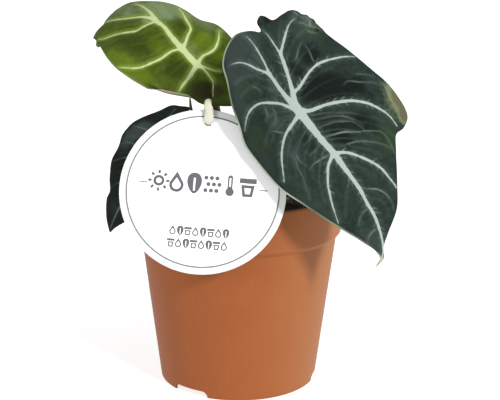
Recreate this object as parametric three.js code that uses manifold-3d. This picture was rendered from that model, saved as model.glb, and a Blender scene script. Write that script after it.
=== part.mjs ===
// A velvet-leaved alocasia in its plastic nursery pot, with a round care card on a cotton loop.
// Millimetres, +Z up. The origin is the middle of the pot's foot, on the surface it stands on,
// and -Y is the front, the side that the large leaf and the card face.

import * as THREE from 'three';
import { mergeVertices } from 'three/addons/utils/BufferGeometryUtils.js';
import Module from 'manifold-3d';

// ---------------------------------------------------------------- driving dimensions

const GAP = 0.3;                      // left between pieces that touch

const POT_HEIGHT = 112;
const RIM_RADIUS = 60;
const COLLAR_LOW_RADIUS = 58.9;       // the collar is the wide band under the rim
const COLLAR_LOW_Z = 89;
const BODY_TOP_RADIUS = 56.4;
const BODY_TOP_Z = 86.3;
const FOOT_RADIUS = 45.4;
const POT_WALL = 1.4;
const RIM_WALL = 2;
const FLOOR_RISE = 4.5;               // the floor stands clear of the surface, on skirt and pad
const FLOOR_THICKNESS = 1.5;
const PAD_RADIUS = 16;                // middle of the floor, which touches the surface
const PAD_SLOPE = 2;
const POT_SIDES = 60;

const ARCH_COUNT = 3;                 // drain arches through the foot skirt
const ARCH_FIRST_ANGLE = -126.3;
const ARCH_WIDTH = 23;
const ARCH_HEIGHT = 3.8;
const ARCH_CORNER = 3.2;
const ARCH_CUT_DEPTH = 10;

const DRAIN_COUNT = 8;
const DRAIN_RADIUS = 4;
const DRAIN_RING = 30;
const DRAIN_CUT_DEPTH = 10;
const DRAIN_SIDES = 16;

const MIX_WALL_Z = 103.5;             // potting mix, level at the wall
const MIX_CROWN_Z = 105.5;            // and its low mound round the crown
const MIX_LUMP = 0.7;
const MIX_SIDES = 40;

const CROWN_TOP_Z = 109;
const CROWN_TOP_RADIUS = 7.5;
const CROWN_RADIUS = 9;
const CROWN_FOOT_Z = 78;
const CROWN_SIDES = 20;

const BLADE_THICKNESS = 1.2;
const BLADE_SECTORS = 56;
const BLADE_RINGS = 5;

const STALK_SEAT_DEPTH = 8;           // the last stretch of a stalk is square to its blade
const STALK_SIDES = 8;
const STALK_STEPS = 16;

const CARD_RADIUS = 44;
const CARD_THICKNESS = 0.6;
const CARD_LEAN = 23;                 // degrees back from upright, resting on the rim
const CARD_SPIN = 4;                  // degrees clockwise, seen from the front
const CARD_CENTRE_X = -18.6;
const CARD_CENTRE_ABOVE_RIM = 12.8;   // up the card from the line where it rests
const CARD_HOLE_OFFSET = 37.6;
const CARD_HOLE_RADIUS = 2.6;
const CARD_SIDES = 48;

const LOOP_RADIUS = 1.4;
const LOOP_SIDES = 6;
const LOOP_STEPS = 60;

// ---------------------------------------------------------------- leaf blades

// A blade is cut from a flat outline, [along, across] in mm from the seat of its stalk, and laid
// over a bent sheet. facing and rise are the direction and height of the upper face's normal,
// spin turns the tip from straight down the slope, tipBend and baseBend are degrees per mm
// along the midrib, and each side falls away by an angle and a bend per mm across it.
const FRONT_BLADE = {
  seat: [30.4, -64, 168], facing: -86, rise: 16, spin: 27,
  tipBend: 0.12, baseBend: 0.25,
  plusFall: 0, plusBend: 0.25, minusFall: 14, minusBend: 0.75,
  curl: null,
  outline: [
    [-45.5, 2.5], [-48.5, -3], [-50.5, -10.5], [-47, -19], [-41, -24.5], [-32, -27], [-20, -31],
    [-8, -33], [3.5, -35], [15, -33], [32, -28.5], [44, -21.5], [57, -13.5], [66, -7.5],
    [76, -1], [83.5, 3], [88, 3], [91, -0.5], [88.5, 5], [83.5, 7.5], [77, 14],
    [68.5, 23], [58.5, 28.5], [43, 36], [34.5, 40.5], [33.5, 45.5], [30, 50.5], [24, 52],
    [12, 50.5], [0, 45.5], [-14.5, 39], [-28.5, 32.5], [-37, 30], [-43, 27], [-48, 23],
    [-48.5, 17], [-48, 11], [-51, 8.5], [-52.5, 6], [-50.5, 3],
  ],
};

const YOUNG_BLADE = {
  seat: [-23.3, -14, 184.1], facing: -95, rise: 36, spin: -124,
  tipBend: 0.45, baseBend: 0.4,
  plusFall: 2, plusBend: 0.4, minusFall: 4, minusBend: 0.5,
  curl: { from: [72, 0], heading: 0, radius: 12 },
  outline: [
    [-23, -1], [-29, 1], [-33, 4.5], [-30, 7.5], [-23.5, 12], [-14.5, 16], [-3.5, 20],
    [6.5, 23.5], [19.5, 23.5], [29, 26], [40, 25], [52.5, 21.5], [64, 16.5], [72, 13.5],
    [84, 11.5], [95, 8.5], [93, 3], [90, -4], [85, -12], [75.5, -18], [60, -23.5], [46, -28],
    [33.5, -28], [20.5, -26.5], [10, -29.5], [-3, -27], [-14, -21.5], [-24, -15],
    [-31, -8.5], [-28.5, -3.5],
  ],
};

const REAR_BLADE = {
  seat: [-41, -32, 146.2], facing: -112, rise: 30, spin: -32,
  tipBend: 0.55, baseBend: 0.5,
  plusFall: -8, plusBend: 0.4, minusFall: 4, minusBend: 0.6,
  curl: null,
  outline: [
    [-18, 1], [-22.5, -1.5], [-20, -7], [-17, -12], [-11, -15], [-1, -22],
    [6.5, -26], [13, -26], [19, -22.5], [29, -20.5], [37, -14.5], [42, -9.5],
    [47, -9], [53, -6], [59, -1], [62, 2.5], [58, 4.5], [52, 8], [43, 14],
    [33, 20], [22, 25], [10, 27.5], [-2, 24.5], [-12, 18.5], [-20, 11], [-22.5, 5],
  ],
};

// Stalks run from the crown to the back of their blades; the seat's own two points are added.
const FRONT_STALK = {
  radius: 2.3, points: [[3.6, -3.2, 0], [3.6, -3.2, 5], [10, -20, 29], [22, -42, 49]],
};
const YOUNG_STALK = {
  radius: 2, points: [[-4.4, -1.6, 0], [-4.4, -1.6, 6], [-10.4, -6.6, 38], [-14, -8.8, 54]],
};
const REAR_STALK = {
  radius: 1.9, points: [[1.2, 5, 0], [1.2, 5, 5], [-11, 4, 32], [-29, -9, 41]],
};

// Papery sheaths that stand round the stalks: the tall one shows between the leaves.
const TALL_SHEATH = {
  radius: 0.9,
  points: [[-1.6, -5.9, 0], [-1.6, -5.9, 4], [-18, -15, 36], [-26, -18.4, 50], [-27, -20.2, 58]],
};
const SHORT_SHEATH = {
  radius: 1.3, points: [[5.2, 2.6, 0], [5.2, 2.6, 4], [9.6, 6.6, 19]],
};

// ---------------------------------------------------------------- helpers

const wasm = await Module();
wasm.setup();

/** Welds a geometry's vertices, so that only positions are left. */
function weld(geometry) {
  geometry.deleteAttribute('normal');
  geometry.deleteAttribute('uv');
  return mergeVertices(geometry, 1e-4);
}

/** Turns a closed geometry's faces to look outwards. */
function faceOutwards(geometry) {
  const p = geometry.getAttribute('position');
  const index = geometry.getIndex();
  const a = new THREE.Vector3();
  const b = new THREE.Vector3();
  const c = new THREE.Vector3();
  let volume = 0;
  for (let i = 0; i < index.count; i += 3) {
    a.fromBufferAttribute(p, index.getX(i));
    b.fromBufferAttribute(p, index.getX(i + 1));
    c.fromBufferAttribute(p, index.getX(i + 2));
    volume += a.dot(b.cross(c));
  }
  if (volume < 0) {
    for (let i = 0; i < index.count; i += 3) {
      const kept = index.getX(i);
      index.setX(i, index.getX(i + 1));
      index.setX(i + 1, kept);
    }
  }
  return geometry;
}

/** Makes a manifold solid of a closed geometry, for cutting. */
function solid(geometry) {
  const welded = faceOutwards(weld(geometry));
  return new wasm.Manifold(new wasm.Mesh({
    numProp: 3,
    vertProperties: new Float32Array(welded.getAttribute('position').array),
    triVerts: new Uint32Array(welded.getIndex().array),
  }));
}

/** Gives a manifold solid back as a geometry. */
function geometryOf(manifold) {
  const mesh = manifold.getMesh();
  const geometry = new THREE.BufferGeometry();
  geometry.setAttribute('position', new THREE.BufferAttribute(mesh.vertProperties, 3));
  geometry.setIndex(new THREE.BufferAttribute(mesh.triVerts, 1));
  return geometry;
}

/** Spins a profile of [radius, z] points round the Z axis. */
function lathe(profile, sides) {
  const points = profile.map(([r, z]) => new THREE.Vector2(r, z));
  const geometry = new THREE.LatheGeometry(points, sides);
  geometry.rotateX(Math.PI / 2);
  return geometry;
}

/** Makes a named mesh with its colour, roughness and metalness. */
function piece(name, geometry, color, roughness) {
  const material = new THREE.MeshStandardMaterial({ color, roughness, metalness: 0 });
  const mesh = new THREE.Mesh(geometry, material);
  mesh.name = name;
  return mesh;
}

/** Sweeps a round section of the given radius along a smooth path. */
function rod(points, radius, steps, sides) {
  const section = new THREE.Shape();
  section.absarc(0, 0, radius, 0, 2 * Math.PI);
  const path = new THREE.CatmullRomCurve3(points, false, 'centripetal');
  const geometry = new THREE.ExtrudeGeometry(section, {
    steps, curveSegments: sides / 2, bevelEnabled: false, extrudePath: path,
  });
  return faceOutwards(weld(geometry));
}

// ---------------------------------------------------------------- pot, mix and crown

/** Closed profile of the pot: up the outside, over the rim, down the inside, along the floor. */
function potProfile() {
  const floorTop = FLOOR_RISE + FLOOR_THICKNESS;
  const innerFoot = FOOT_RADIUS - POT_WALL;
  return [
    [0, 0],
    [PAD_RADIUS, 0],
    [PAD_RADIUS + PAD_SLOPE, FLOOR_RISE],
    [innerFoot, FLOOR_RISE],
    [innerFoot, 0],
    [FOOT_RADIUS, 0],
    [BODY_TOP_RADIUS, BODY_TOP_Z],
    [COLLAR_LOW_RADIUS, COLLAR_LOW_Z],
    [RIM_RADIUS, POT_HEIGHT - 1],
    [RIM_RADIUS - 0.5, POT_HEIGHT],
    [RIM_RADIUS - RIM_WALL, POT_HEIGHT],
    [COLLAR_LOW_RADIUS - POT_WALL, COLLAR_LOW_Z + 1.5],
    [BODY_TOP_RADIUS - POT_WALL, BODY_TOP_Z + 0.8],
    [innerFoot + 0.6, floorTop],
    [PAD_RADIUS + PAD_SLOPE, floorTop],
    [PAD_RADIUS, FLOOR_THICKNESS],
    [0, FLOOR_THICKNESS],
  ];
}

/** One drain arch: a round-shouldered opening, pushed out through the skirt. */
function archCutter(angle) {
  const half = ARCH_WIDTH / 2;
  const outline = new THREE.Shape();
  outline.moveTo(-half, -1);
  outline.lineTo(half, -1);
  outline.lineTo(half, ARCH_HEIGHT - ARCH_CORNER);
  outline.quadraticCurveTo(half, ARCH_HEIGHT, half - ARCH_CORNER, ARCH_HEIGHT);
  outline.lineTo(ARCH_CORNER - half, ARCH_HEIGHT);
  outline.quadraticCurveTo(-half, ARCH_HEIGHT, -half, ARCH_HEIGHT - ARCH_CORNER);
  const cutter = new THREE.ExtrudeGeometry(outline, {
    depth: ARCH_CUT_DEPTH, bevelEnabled: false, curveSegments: 3,
  });
  cutter.rotateX(Math.PI / 2);
  cutter.rotateZ(Math.PI / 2);
  cutter.translate(FOOT_RADIUS - ARCH_CUT_DEPTH / 2, 0, 0);
  cutter.rotateZ(THREE.MathUtils.degToRad(angle));
  return cutter;
}

/** The pot: a lathed shell with its drain arches and drain holes cut through. */
function makePot() {
  let pot = solid(lathe(potProfile(), POT_SIDES));
  for (let i = 0; i < ARCH_COUNT; i += 1) {
    pot = pot.subtract(solid(archCutter(ARCH_FIRST_ANGLE + (360 / ARCH_COUNT) * i)));
  }
  for (let i = 0; i < DRAIN_COUNT; i += 1) {
    const hole = new THREE.CylinderGeometry(DRAIN_RADIUS, DRAIN_RADIUS, DRAIN_CUT_DEPTH, DRAIN_SIDES);
    hole.rotateX(Math.PI / 2);
    hole.translate(DRAIN_RING, 0, FLOOR_RISE);
    hole.rotateZ((2 * Math.PI / DRAIN_COUNT) * (i + 0.5));
    pot = pot.subtract(solid(hole));
  }
  return geometryOf(pot);
}

/** Profile of the crown, grown on all sides by a margin. */
function crownProfile(margin, top) {
  return [
    [0, CROWN_FOOT_Z - margin],
    [3 + margin, CROWN_FOOT_Z + 1 - margin],
    [7 + margin, CROWN_FOOT_Z + 10],
    [CROWN_RADIUS + margin, CROWN_FOOT_Z + 20],
    [CROWN_RADIUS + margin, CROWN_TOP_Z - 5],
    [top > CROWN_TOP_Z ? CROWN_RADIUS + margin : CROWN_TOP_RADIUS, top],
    [0, top],
  ];
}

/** The crown: a short thick stem, set into the mix. */
function makeCrown() {
  return faceOutwards(weld(lathe(crownProfile(0, CROWN_TOP_Z), CROWN_SIDES)));
}

/** The mix fills the pot to a little under the rim, with an uneven surface. */
function makeMix() {
  const floorTop = FLOOR_RISE + FLOOR_THICKNESS + GAP;
  const collarInner = COLLAR_LOW_RADIUS - POT_WALL - GAP;
  const profile = [
    [0, FLOOR_THICKNESS + GAP],
    [PAD_RADIUS - GAP, FLOOR_THICKNESS + GAP],
    [PAD_RADIUS + PAD_SLOPE - GAP, floorTop],
    [FOOT_RADIUS - POT_WALL, floorTop],
    [BODY_TOP_RADIUS - POT_WALL - GAP, BODY_TOP_Z + 1.2],
    [collarInner, COLLAR_LOW_Z + 2],
    [collarInner + 0.3, MIX_WALL_Z],
    [46, MIX_WALL_Z + 0.4],
    [34, MIX_WALL_Z + 0.8],
    [22, MIX_CROWN_Z - 0.5],
    [12, MIX_CROWN_Z],
    [0, MIX_CROWN_Z],
  ];
  const geometry = weld(lathe(profile, MIX_SIDES));
  const p = geometry.getAttribute('position');
  for (let i = 0; i < p.count; i += 1) {
    const x = p.getX(i);
    const y = p.getY(i);
    const isTop = p.getZ(i) > MIX_WALL_Z + 0.1;
    if (isTop) {
      p.setZ(i, p.getZ(i) + MIX_LUMP * Math.sin(x * 0.31 + 1) * Math.cos(y * 0.27));
    }
  }
  const hollow = solid(lathe(crownProfile(GAP, POT_HEIGHT), CROWN_SIDES));
  return geometryOf(solid(geometry).subtract(hollow));
}

// ---------------------------------------------------------------- leaves

/** Walks a length along an arc that starts at an angle below level: [forward, down]. */
function arcWalk(length, fall, bend) {
  if (Math.abs(bend) < 1e-6) {
    return [length * Math.cos(fall), length * Math.sin(fall)];
  }
  const end = fall + bend * length;
  return [(Math.sin(end) - Math.sin(fall)) / bend, (Math.cos(fall) - Math.cos(end)) / bend];
}

/** The upper face's normal, the direction of the tip and the direction across, at the seat. */
function bladeAxes(blade) {
  const facing = THREE.MathUtils.degToRad(blade.facing);
  const rise = THREE.MathUtils.degToRad(blade.rise);
  const spin = THREE.MathUtils.degToRad(blade.spin);
  const normal = new THREE.Vector3(
    Math.cos(rise) * Math.cos(facing), Math.cos(rise) * Math.sin(facing), Math.sin(rise));
  const slope = new THREE.Vector3(
    Math.sin(rise) * Math.cos(facing), Math.sin(rise) * Math.sin(facing), -Math.cos(rise));
  const level = new THREE.Vector3(-Math.sin(facing), Math.cos(facing), 0);
  const along = slope.multiplyScalar(Math.cos(spin)).addScaledVector(level, Math.sin(spin));
  const across = new THREE.Vector3().crossVectors(normal, along);
  return { normal, along, across };
}

/** Where the tip curls over: [distance along, drop] of a flat point past the curl's line. */
function curlOver(curl, along, across) {
  if (!curl) {
    return [along, across, 0];
  }
  const heading = THREE.MathUtils.degToRad(curl.heading);
  const cos = Math.cos(heading);
  const sin = Math.sin(heading);
  const past = (along - curl.from[0]) * cos + (across - curl.from[1]) * sin;
  if (past <= 0) {
    return [along, across, 0];
  }
  const turn = past / curl.radius;
  const short = past - curl.radius * Math.sin(turn);
  return [along - short * cos, across - short * sin, curl.radius * (1 - Math.cos(turn))];
}

/** Lays a flat point of a blade over its bent sheet, lifted off the sheet by a height. */
function onSheet(blade, flatAlong, flatAcross, lift) {
  const { normal, along, across } = bladeAxes(blade);
  const [u, v, drop] = curlOver(blade.curl, flatAlong, flatAcross);
  const bend = THREE.MathUtils.degToRad(u >= 0 ? blade.tipBend : blade.baseBend);
  const [forward, down] = arcWalk(Math.abs(u), 0, bend);
  const way = u >= 0 ? 1 : -1;
  const tilt = bend * u;
  const localNormal = along.clone().multiplyScalar(Math.sin(tilt))
    .addScaledVector(normal, Math.cos(tilt));
  const fall = THREE.MathUtils.degToRad(v >= 0 ? blade.plusFall : blade.minusFall);
  const sideBend = THREE.MathUtils.degToRad(v >= 0 ? blade.plusBend : blade.minusBend);
  const [out, sag] = arcWalk(Math.abs(v), fall, sideBend);
  const side = v >= 0 ? 1 : -1;
  return new THREE.Vector3(...blade.seat)
    .addScaledVector(along, way * forward)
    .addScaledVector(normal, -down)
    .addScaledVector(across, side * out)
    .addScaledVector(localNormal, lift - sag - drop);
}

/** A blade: a sphere pressed flat to the leaf's outline and laid over its sheet. */
function makeBlade(blade) {
  const edge = new THREE.CatmullRomCurve3(
    blade.outline.map(([along, across]) => new THREE.Vector3(along, across, 0)), true, 'centripetal');
  const geometry = weld(new THREE.SphereGeometry(1, BLADE_SECTORS, 2 * BLADE_RINGS));
  const p = geometry.getAttribute('position');
  for (let i = 0; i < p.count; i += 1) {
    const turn = Math.atan2(p.getZ(i), p.getX(i)) / (2 * Math.PI);
    const polar = Math.acos(THREE.MathUtils.clamp(p.getY(i), -1, 1)) / (Math.PI / 2);
    const reach = polar <= 1 ? polar : 2 - polar;
    const face = polar <= 1 ? 1 : -1;
    const rim = edge.getPointAt(THREE.MathUtils.euclideanModulo(turn, 1));
    const lift = face * (BLADE_THICKNESS / 2) * (1 - reach ** 4);
    const point = onSheet(blade, rim.x * reach, rim.y * reach, lift);
    p.setXYZ(i, point.x, point.y, point.z);
  }
  return faceOutwards(geometry);
}

/** A stalk from the crown's top to the back of its blade, square to the blade at its end. */
function makeStalk(stalk, blade) {
  const steepest = THREE.MathUtils.degToRad(Math.max(blade.plusFall, blade.minusFall));
  const clear = BLADE_THICKNESS / 2 + GAP + stalk.radius * Math.tan(steepest);
  const points = stalk.points.map(([x, y, z]) => new THREE.Vector3(x, y, CROWN_TOP_Z + GAP + z));
  points.push(onSheet(blade, 0, 0, -STALK_SEAT_DEPTH));
  points.push(onSheet(blade, 0, 0, -clear));
  return rod(points, stalk.radius, STALK_STEPS, STALK_SIDES);
}

/** A sheath: a thin rod from the crown's top to its free tip. */
function makeSheath(sheath) {
  const points = sheath.points.map(([x, y, z]) => new THREE.Vector3(x, y, CROWN_TOP_Z + GAP + z));
  return rod(points, sheath.radius, STALK_STEPS / 2, STALK_SIDES);
}

// ---------------------------------------------------------------- card and loop

/** The card's own directions, and its middle, resting on the front of the rim. */
function cardFrame() {
  const lean = THREE.MathUtils.degToRad(CARD_LEAN);
  const spin = THREE.MathUtils.degToRad(CARD_SPIN);
  const normal = new THREE.Vector3(0, -Math.cos(lean), Math.sin(lean));
  const slope = new THREE.Vector3(0, Math.sin(lean), Math.cos(lean));
  const level = new THREE.Vector3(1, 0, 0);
  const up = slope.clone().multiplyScalar(Math.cos(spin)).addScaledVector(level, Math.sin(spin));
  const right = level.multiplyScalar(Math.cos(spin)).addScaledVector(slope, -Math.sin(spin));
  const middle = new THREE.Vector3(0, -RIM_RADIUS, POT_HEIGHT - 1)
    .addScaledVector(normal, GAP + CARD_THICKNESS / 2)
    .addScaledVector(slope, CARD_CENTRE_ABOVE_RIM);
  middle.x = CARD_CENTRE_X;
  return { normal, up, right, middle };
}

/** The card: a thin disc with one hole near its top edge. */
function makeCard() {
  const outline = new THREE.Shape();
  outline.absarc(0, 0, CARD_RADIUS, 0, 2 * Math.PI);
  const hole = new THREE.Path();
  hole.absarc(0, CARD_HOLE_OFFSET, CARD_HOLE_RADIUS, 0, 2 * Math.PI, true);
  outline.holes.push(hole);
  const geometry = new THREE.ExtrudeGeometry(outline, {
    depth: CARD_THICKNESS, bevelEnabled: false, curveSegments: CARD_SIDES / 2,
  });
  geometry.translate(0, 0, -CARD_THICKNESS / 2);
  const { normal, up, right, middle } = cardFrame();
  geometry.applyMatrix4(new THREE.Matrix4().makeBasis(right, up, normal).setPosition(middle));
  return faceOutwards(weld(geometry));
}

/** The loop's closed path: through the hole, up the front, over the edge, round the stalk, back. */
function loopPath() {
  const { normal, up, middle } = cardFrame();
  const hole = middle.clone().addScaledVector(up, CARD_HOLE_OFFSET);
  const at = (rise, out) => hole.clone().addScaledVector(up, rise).addScaledVector(normal, out);
  const points = [
    at(0, 0),
    at(1.6, 2.2),
    at(5, 2.4),
    new THREE.Vector3(-16.3, -41.4, 166.4),
    new THREE.Vector3(-16.4, -38.4, 168.2),
    new THREE.Vector3(-16.7, -33.6, 166.2),
    new THREE.Vector3(-17.4, -22, 161.4),
    new THREE.Vector3(-17.9, -8, 159.4),
    new THREE.Vector3(-12.4, -2.4, 156),
    new THREE.Vector3(-7, -7.6, 152.4),
    new THREE.Vector3(-10.6, -22, 151.4),
    at(-1.2, -5),
  ];
  return new THREE.CatmullRomCurve3(points, true, 'centripetal');
}

/** The loop: a ring whose round section is carried along the closed path. */
function makeLoop() {
  const path = loopPath();
  const frames = path.computeFrenetFrames(LOOP_STEPS, true);
  const geometry = weld(new THREE.TorusGeometry(2, 1, LOOP_SIDES, LOOP_STEPS));
  const p = geometry.getAttribute('position');
  for (let i = 0; i < p.count; i += 1) {
    const turn = THREE.MathUtils.euclideanModulo(Math.atan2(p.getY(i), p.getX(i)) / (2 * Math.PI), 1);
    const step = Math.round(turn * LOOP_STEPS) % LOOP_STEPS;
    const outward = Math.hypot(p.getX(i), p.getY(i)) - 2;
    const point = path.getPointAt(step / LOOP_STEPS)
      .addScaledVector(frames.normals[step], outward * LOOP_RADIUS)
      .addScaledVector(frames.binormals[step], p.getZ(i) * LOOP_RADIUS);
    p.setXYZ(i, point.x, point.y, point.z);
  }
  return faceOutwards(geometry);
}

// ---------------------------------------------------------------- the plant in its pot

const plant = new THREE.Group();
plant.add(
  piece('pot', makePot(), 0xb0663f, 0.5),
  piece('potting_mix', makeMix(), 0x1d1c17, 0.95),
  piece('crown', makeCrown(), 0x5b5a35, 0.7),
  piece('front_leaf_blade', makeBlade(FRONT_BLADE), 0x2b3d36, 0.75),
  piece('front_leaf_stalk', makeStalk(FRONT_STALK, FRONT_BLADE), 0x6b6a48, 0.6),
  piece('young_leaf_blade', makeBlade(YOUNG_BLADE), 0x587026, 0.6),
  piece('young_leaf_stalk', makeStalk(YOUNG_STALK, YOUNG_BLADE), 0x5c6434, 0.6),
  piece('rear_leaf_blade', makeBlade(REAR_BLADE), 0x222a26, 0.75),
  piece('rear_leaf_stalk', makeStalk(REAR_STALK, REAR_BLADE), 0x5b5f40, 0.6),
  piece('tall_sheath', makeSheath(TALL_SHEATH), 0x8c9268, 0.7),
  piece('short_sheath', makeSheath(SHORT_SHEATH), 0x7a6a48, 0.8),
  piece('care_card', makeCard(), 0xfafbfb, 0.6),
  piece('card_loop', makeLoop(), 0xe9e7d5, 0.9),
);

export default plant;
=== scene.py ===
"""A velvet-leaved alocasia in its plastic nursery pot, with a care card on a cotton loop.

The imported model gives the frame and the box. Every piece here is modelled around it in
millimetres, from the same sizes, and turned to metres when its mesh is made.
"""

from __future__ import annotations

import itertools
import logging
import math
from collections.abc import Sequence
from dataclasses import dataclass, field
from enum import Enum

import bmesh
import bpy
import numpy as np
from mathutils import Matrix, Vector, geometry
from mathutils.kdtree import KDTree

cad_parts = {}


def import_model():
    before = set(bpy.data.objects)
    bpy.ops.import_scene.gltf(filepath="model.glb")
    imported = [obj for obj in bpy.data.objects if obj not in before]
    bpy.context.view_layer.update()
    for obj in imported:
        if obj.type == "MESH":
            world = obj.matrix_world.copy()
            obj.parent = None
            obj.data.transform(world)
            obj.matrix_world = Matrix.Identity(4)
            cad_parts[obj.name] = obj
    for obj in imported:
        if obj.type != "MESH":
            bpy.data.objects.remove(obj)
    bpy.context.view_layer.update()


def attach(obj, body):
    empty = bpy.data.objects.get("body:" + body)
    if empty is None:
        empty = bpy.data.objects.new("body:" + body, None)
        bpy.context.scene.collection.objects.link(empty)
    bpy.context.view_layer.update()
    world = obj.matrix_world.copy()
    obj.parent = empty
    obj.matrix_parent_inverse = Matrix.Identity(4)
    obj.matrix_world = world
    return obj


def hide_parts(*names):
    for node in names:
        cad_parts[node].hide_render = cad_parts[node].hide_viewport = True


LOG = logging.getLogger("alocasia")
MM = 0.001
FULL_TURN = 2 * math.pi
HASH_STEPS = np.array([73856093, 19349663, 83492791])
HASH_SEED = 9176
HASH_SCRAMBLE = 1274126177
KNOT_STEPS = 24

Array = np.ndarray
Point2 = tuple[float, float]
Point3 = tuple[float, float, float]
Rgba = tuple[float, float, float, float]
Faces = list[list[int]]
Solid = tuple[Array, Faces]
Loop = list[Point2]
Tree = bpy.types.NodeTree
Socket = bpy.types.NodeSocket
Settings = dict[str | int, object]
Links = dict[str | int, Socket]


# ---------------------------------------------------------------- numbers and curves


def linear(code: str) -> Rgba:
    """Turns an sRGB hex colour, "#rrggbb", into linear red, green and blue with an alpha of one."""
    shares = [int(code[i : i + 2], 16) / 255 for i in (1, 3, 5)]
    lit = [s / 12.92 if s <= 0.04045 else ((s + 0.055) / 1.055) ** 2.4 for s in shares]
    return (lit[0], lit[1], lit[2], 1.0)


def ramp(low: float, high: float, values: Array) -> Array:
    """Rises smoothly from 0 at low to 1 at high; low may be the larger of the two."""
    share = np.clip((values - low) / (high - low), 0, 1)
    return share * share * (3 - 2 * share)


def lattice_noise(points: Array, size: float, seed: int) -> Array:
    """Smooth seeded noise on a lattice.

    Args:
        points: Places with two or three coordinates each.
        size: Pitch of the lattice, in the same unit.
        seed: Which noise.

    Returns:
        One value from -1 to 1 for each place.
    """
    scaled = np.asarray(points, float) / size
    cell = np.floor(scaled).astype(np.int64)
    part = scaled - cell
    part = part * part * (3 - 2 * part)
    steps = HASH_STEPS[: cell.shape[1]]
    values = np.zeros(len(cell))
    for corner in itertools.product((0, 1), repeat=cell.shape[1]):
        key = ((cell + corner) * steps).sum(axis=1) + seed * HASH_SEED
        key = (key ^ (key >> 13)) & 0xFFFFFFFF
        key = (key * HASH_SCRAMBLE) & 0xFFFFFFFF
        key = (key ^ (key >> 16)) & 0xFFFF
        values += np.prod(np.where(corner, part, 1 - part), axis=1) * (key * 2 / 0xFFFF - 1)
    return values


def run_along(line: Array) -> Array:
    """How far along a line each of its places lies."""
    return np.concatenate([[0], np.cumsum(np.linalg.norm(np.diff(line, axis=0), axis=1))])


def angles(count: int) -> Array:
    """Equal steps round a full turn, in radians."""
    return np.linspace(0, FULL_TURN, count, endpoint=False)


def level_ring(radius: float, height: float, sides: int) -> Array:
    """Places round the upright axis, all at one height."""
    turn = angles(sides)
    return np.column_stack([radius * np.cos(turn), radius * np.sin(turn), np.full(sides, height)])


def beside(edge: Array) -> Array:
    """Unit steps to the right of a closed flat line, at each of its places."""
    heading = np.roll(edge, -1, axis=0) - np.roll(edge, 1, axis=0)
    aside = np.column_stack([heading[:, 1], -heading[:, 0]])
    return aside / np.linalg.norm(heading, axis=1)[:, None]


def search_tree(places: Array) -> KDTree:
    """A tree that finds the nearest of many flat places."""
    tree = KDTree(len(places))
    for i, (x, y) in enumerate(places):
        tree.insert((x, y, 0), i)
    tree.balance()
    return tree


def smooth_path(points: Sequence[Sequence[float]], step: float, closed: bool = False) -> Array:
    """Runs a centripetal Catmull-Rom curve through points, in equal steps.

    Args:
        points: The points that the curve passes.
        step: Wanted distance between the places given back.
        closed: Whether the curve runs back to its first point.

    Returns:
        Places along the curve; a closed one doesn't repeat its first.
    """
    knots = np.asarray(points, float)
    if closed:
        ring = np.vstack([knots[-1:], knots, knots[:2]])
    else:
        ring = np.vstack([2 * knots[0] - knots[1], knots, 2 * knots[-1] - knots[-2]])
    dense = []
    for a, b, c, d in zip(ring, ring[1:], ring[2:], ring[3:]):
        roots = [np.linalg.norm(end - start) ** 0.5 for start, end in ((a, b), (b, c), (c, d))]
        ta, tb, tc, td = 0.0, *np.cumsum(roots)
        t = np.linspace(tb, tc, KNOT_STEPS, endpoint=False)[:, None]

        def blend(near: Array, far: Array, start: float, end: float) -> Array:
            """Goes evenly from one place at the start to another at the end."""
            return near * (end - t) / (end - start) + far * (t - start) / (end - start)

        ab, bc, cd = blend(a, b, ta, tb), blend(b, c, tb, tc), blend(c, d, tc, td)
        dense.append(blend(blend(ab, bc, ta, tc), blend(bc, cd, tb, td), tb, tc))
    line = np.vstack([*dense, knots[:1] if closed else knots[-1:]])
    run = run_along(line)
    at = np.linspace(0, run[-1], max(3, round(run[-1] / step)) + 1)
    even = np.column_stack([np.interp(at, run, line[:, k]) for k in range(line.shape[1])])
    return even[:-1] if closed else even


def rounded(profile: Sequence[tuple[float, float, float]], turns: int = 5) -> Array:
    """Rounds the corners of an open profile.

    Args:
        profile: Corners as (radius, height, fillet).
        turns: Steps in each rounded corner.

    Returns:
        The rounded profile's points.
    """
    made = []
    for i, (r, z, fillet) in enumerate(profile):
        corner = np.array([r, z])
        if fillet == 0 or i in (0, len(profile) - 1):
            made.append(corner)
            continue
        sides = [np.array(profile[j][:2]) - corner for j in (i - 1, i + 1)]
        spans = [np.linalg.norm(side) for side in sides]
        reach = min(fillet, *(span / 2 for span in spans))
        start, end = (corner + side / span * reach for side, span in zip(sides, spans))
        for t in np.linspace(0, 1, turns + 1):
            made.append(start * (1 - t) ** 2 + 2 * corner * t * (1 - t) + end * t * t)
    return np.array(made)


# ---------------------------------------------------------------- meshes


def link_object(name: str, data: bpy.types.ID) -> bpy.types.Object:
    """Makes an object of a mesh, lamp or camera, and links it to the scene."""
    thing = bpy.data.objects.new(name, data)
    bpy.context.scene.collection.objects.link(thing)
    return thing


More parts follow.
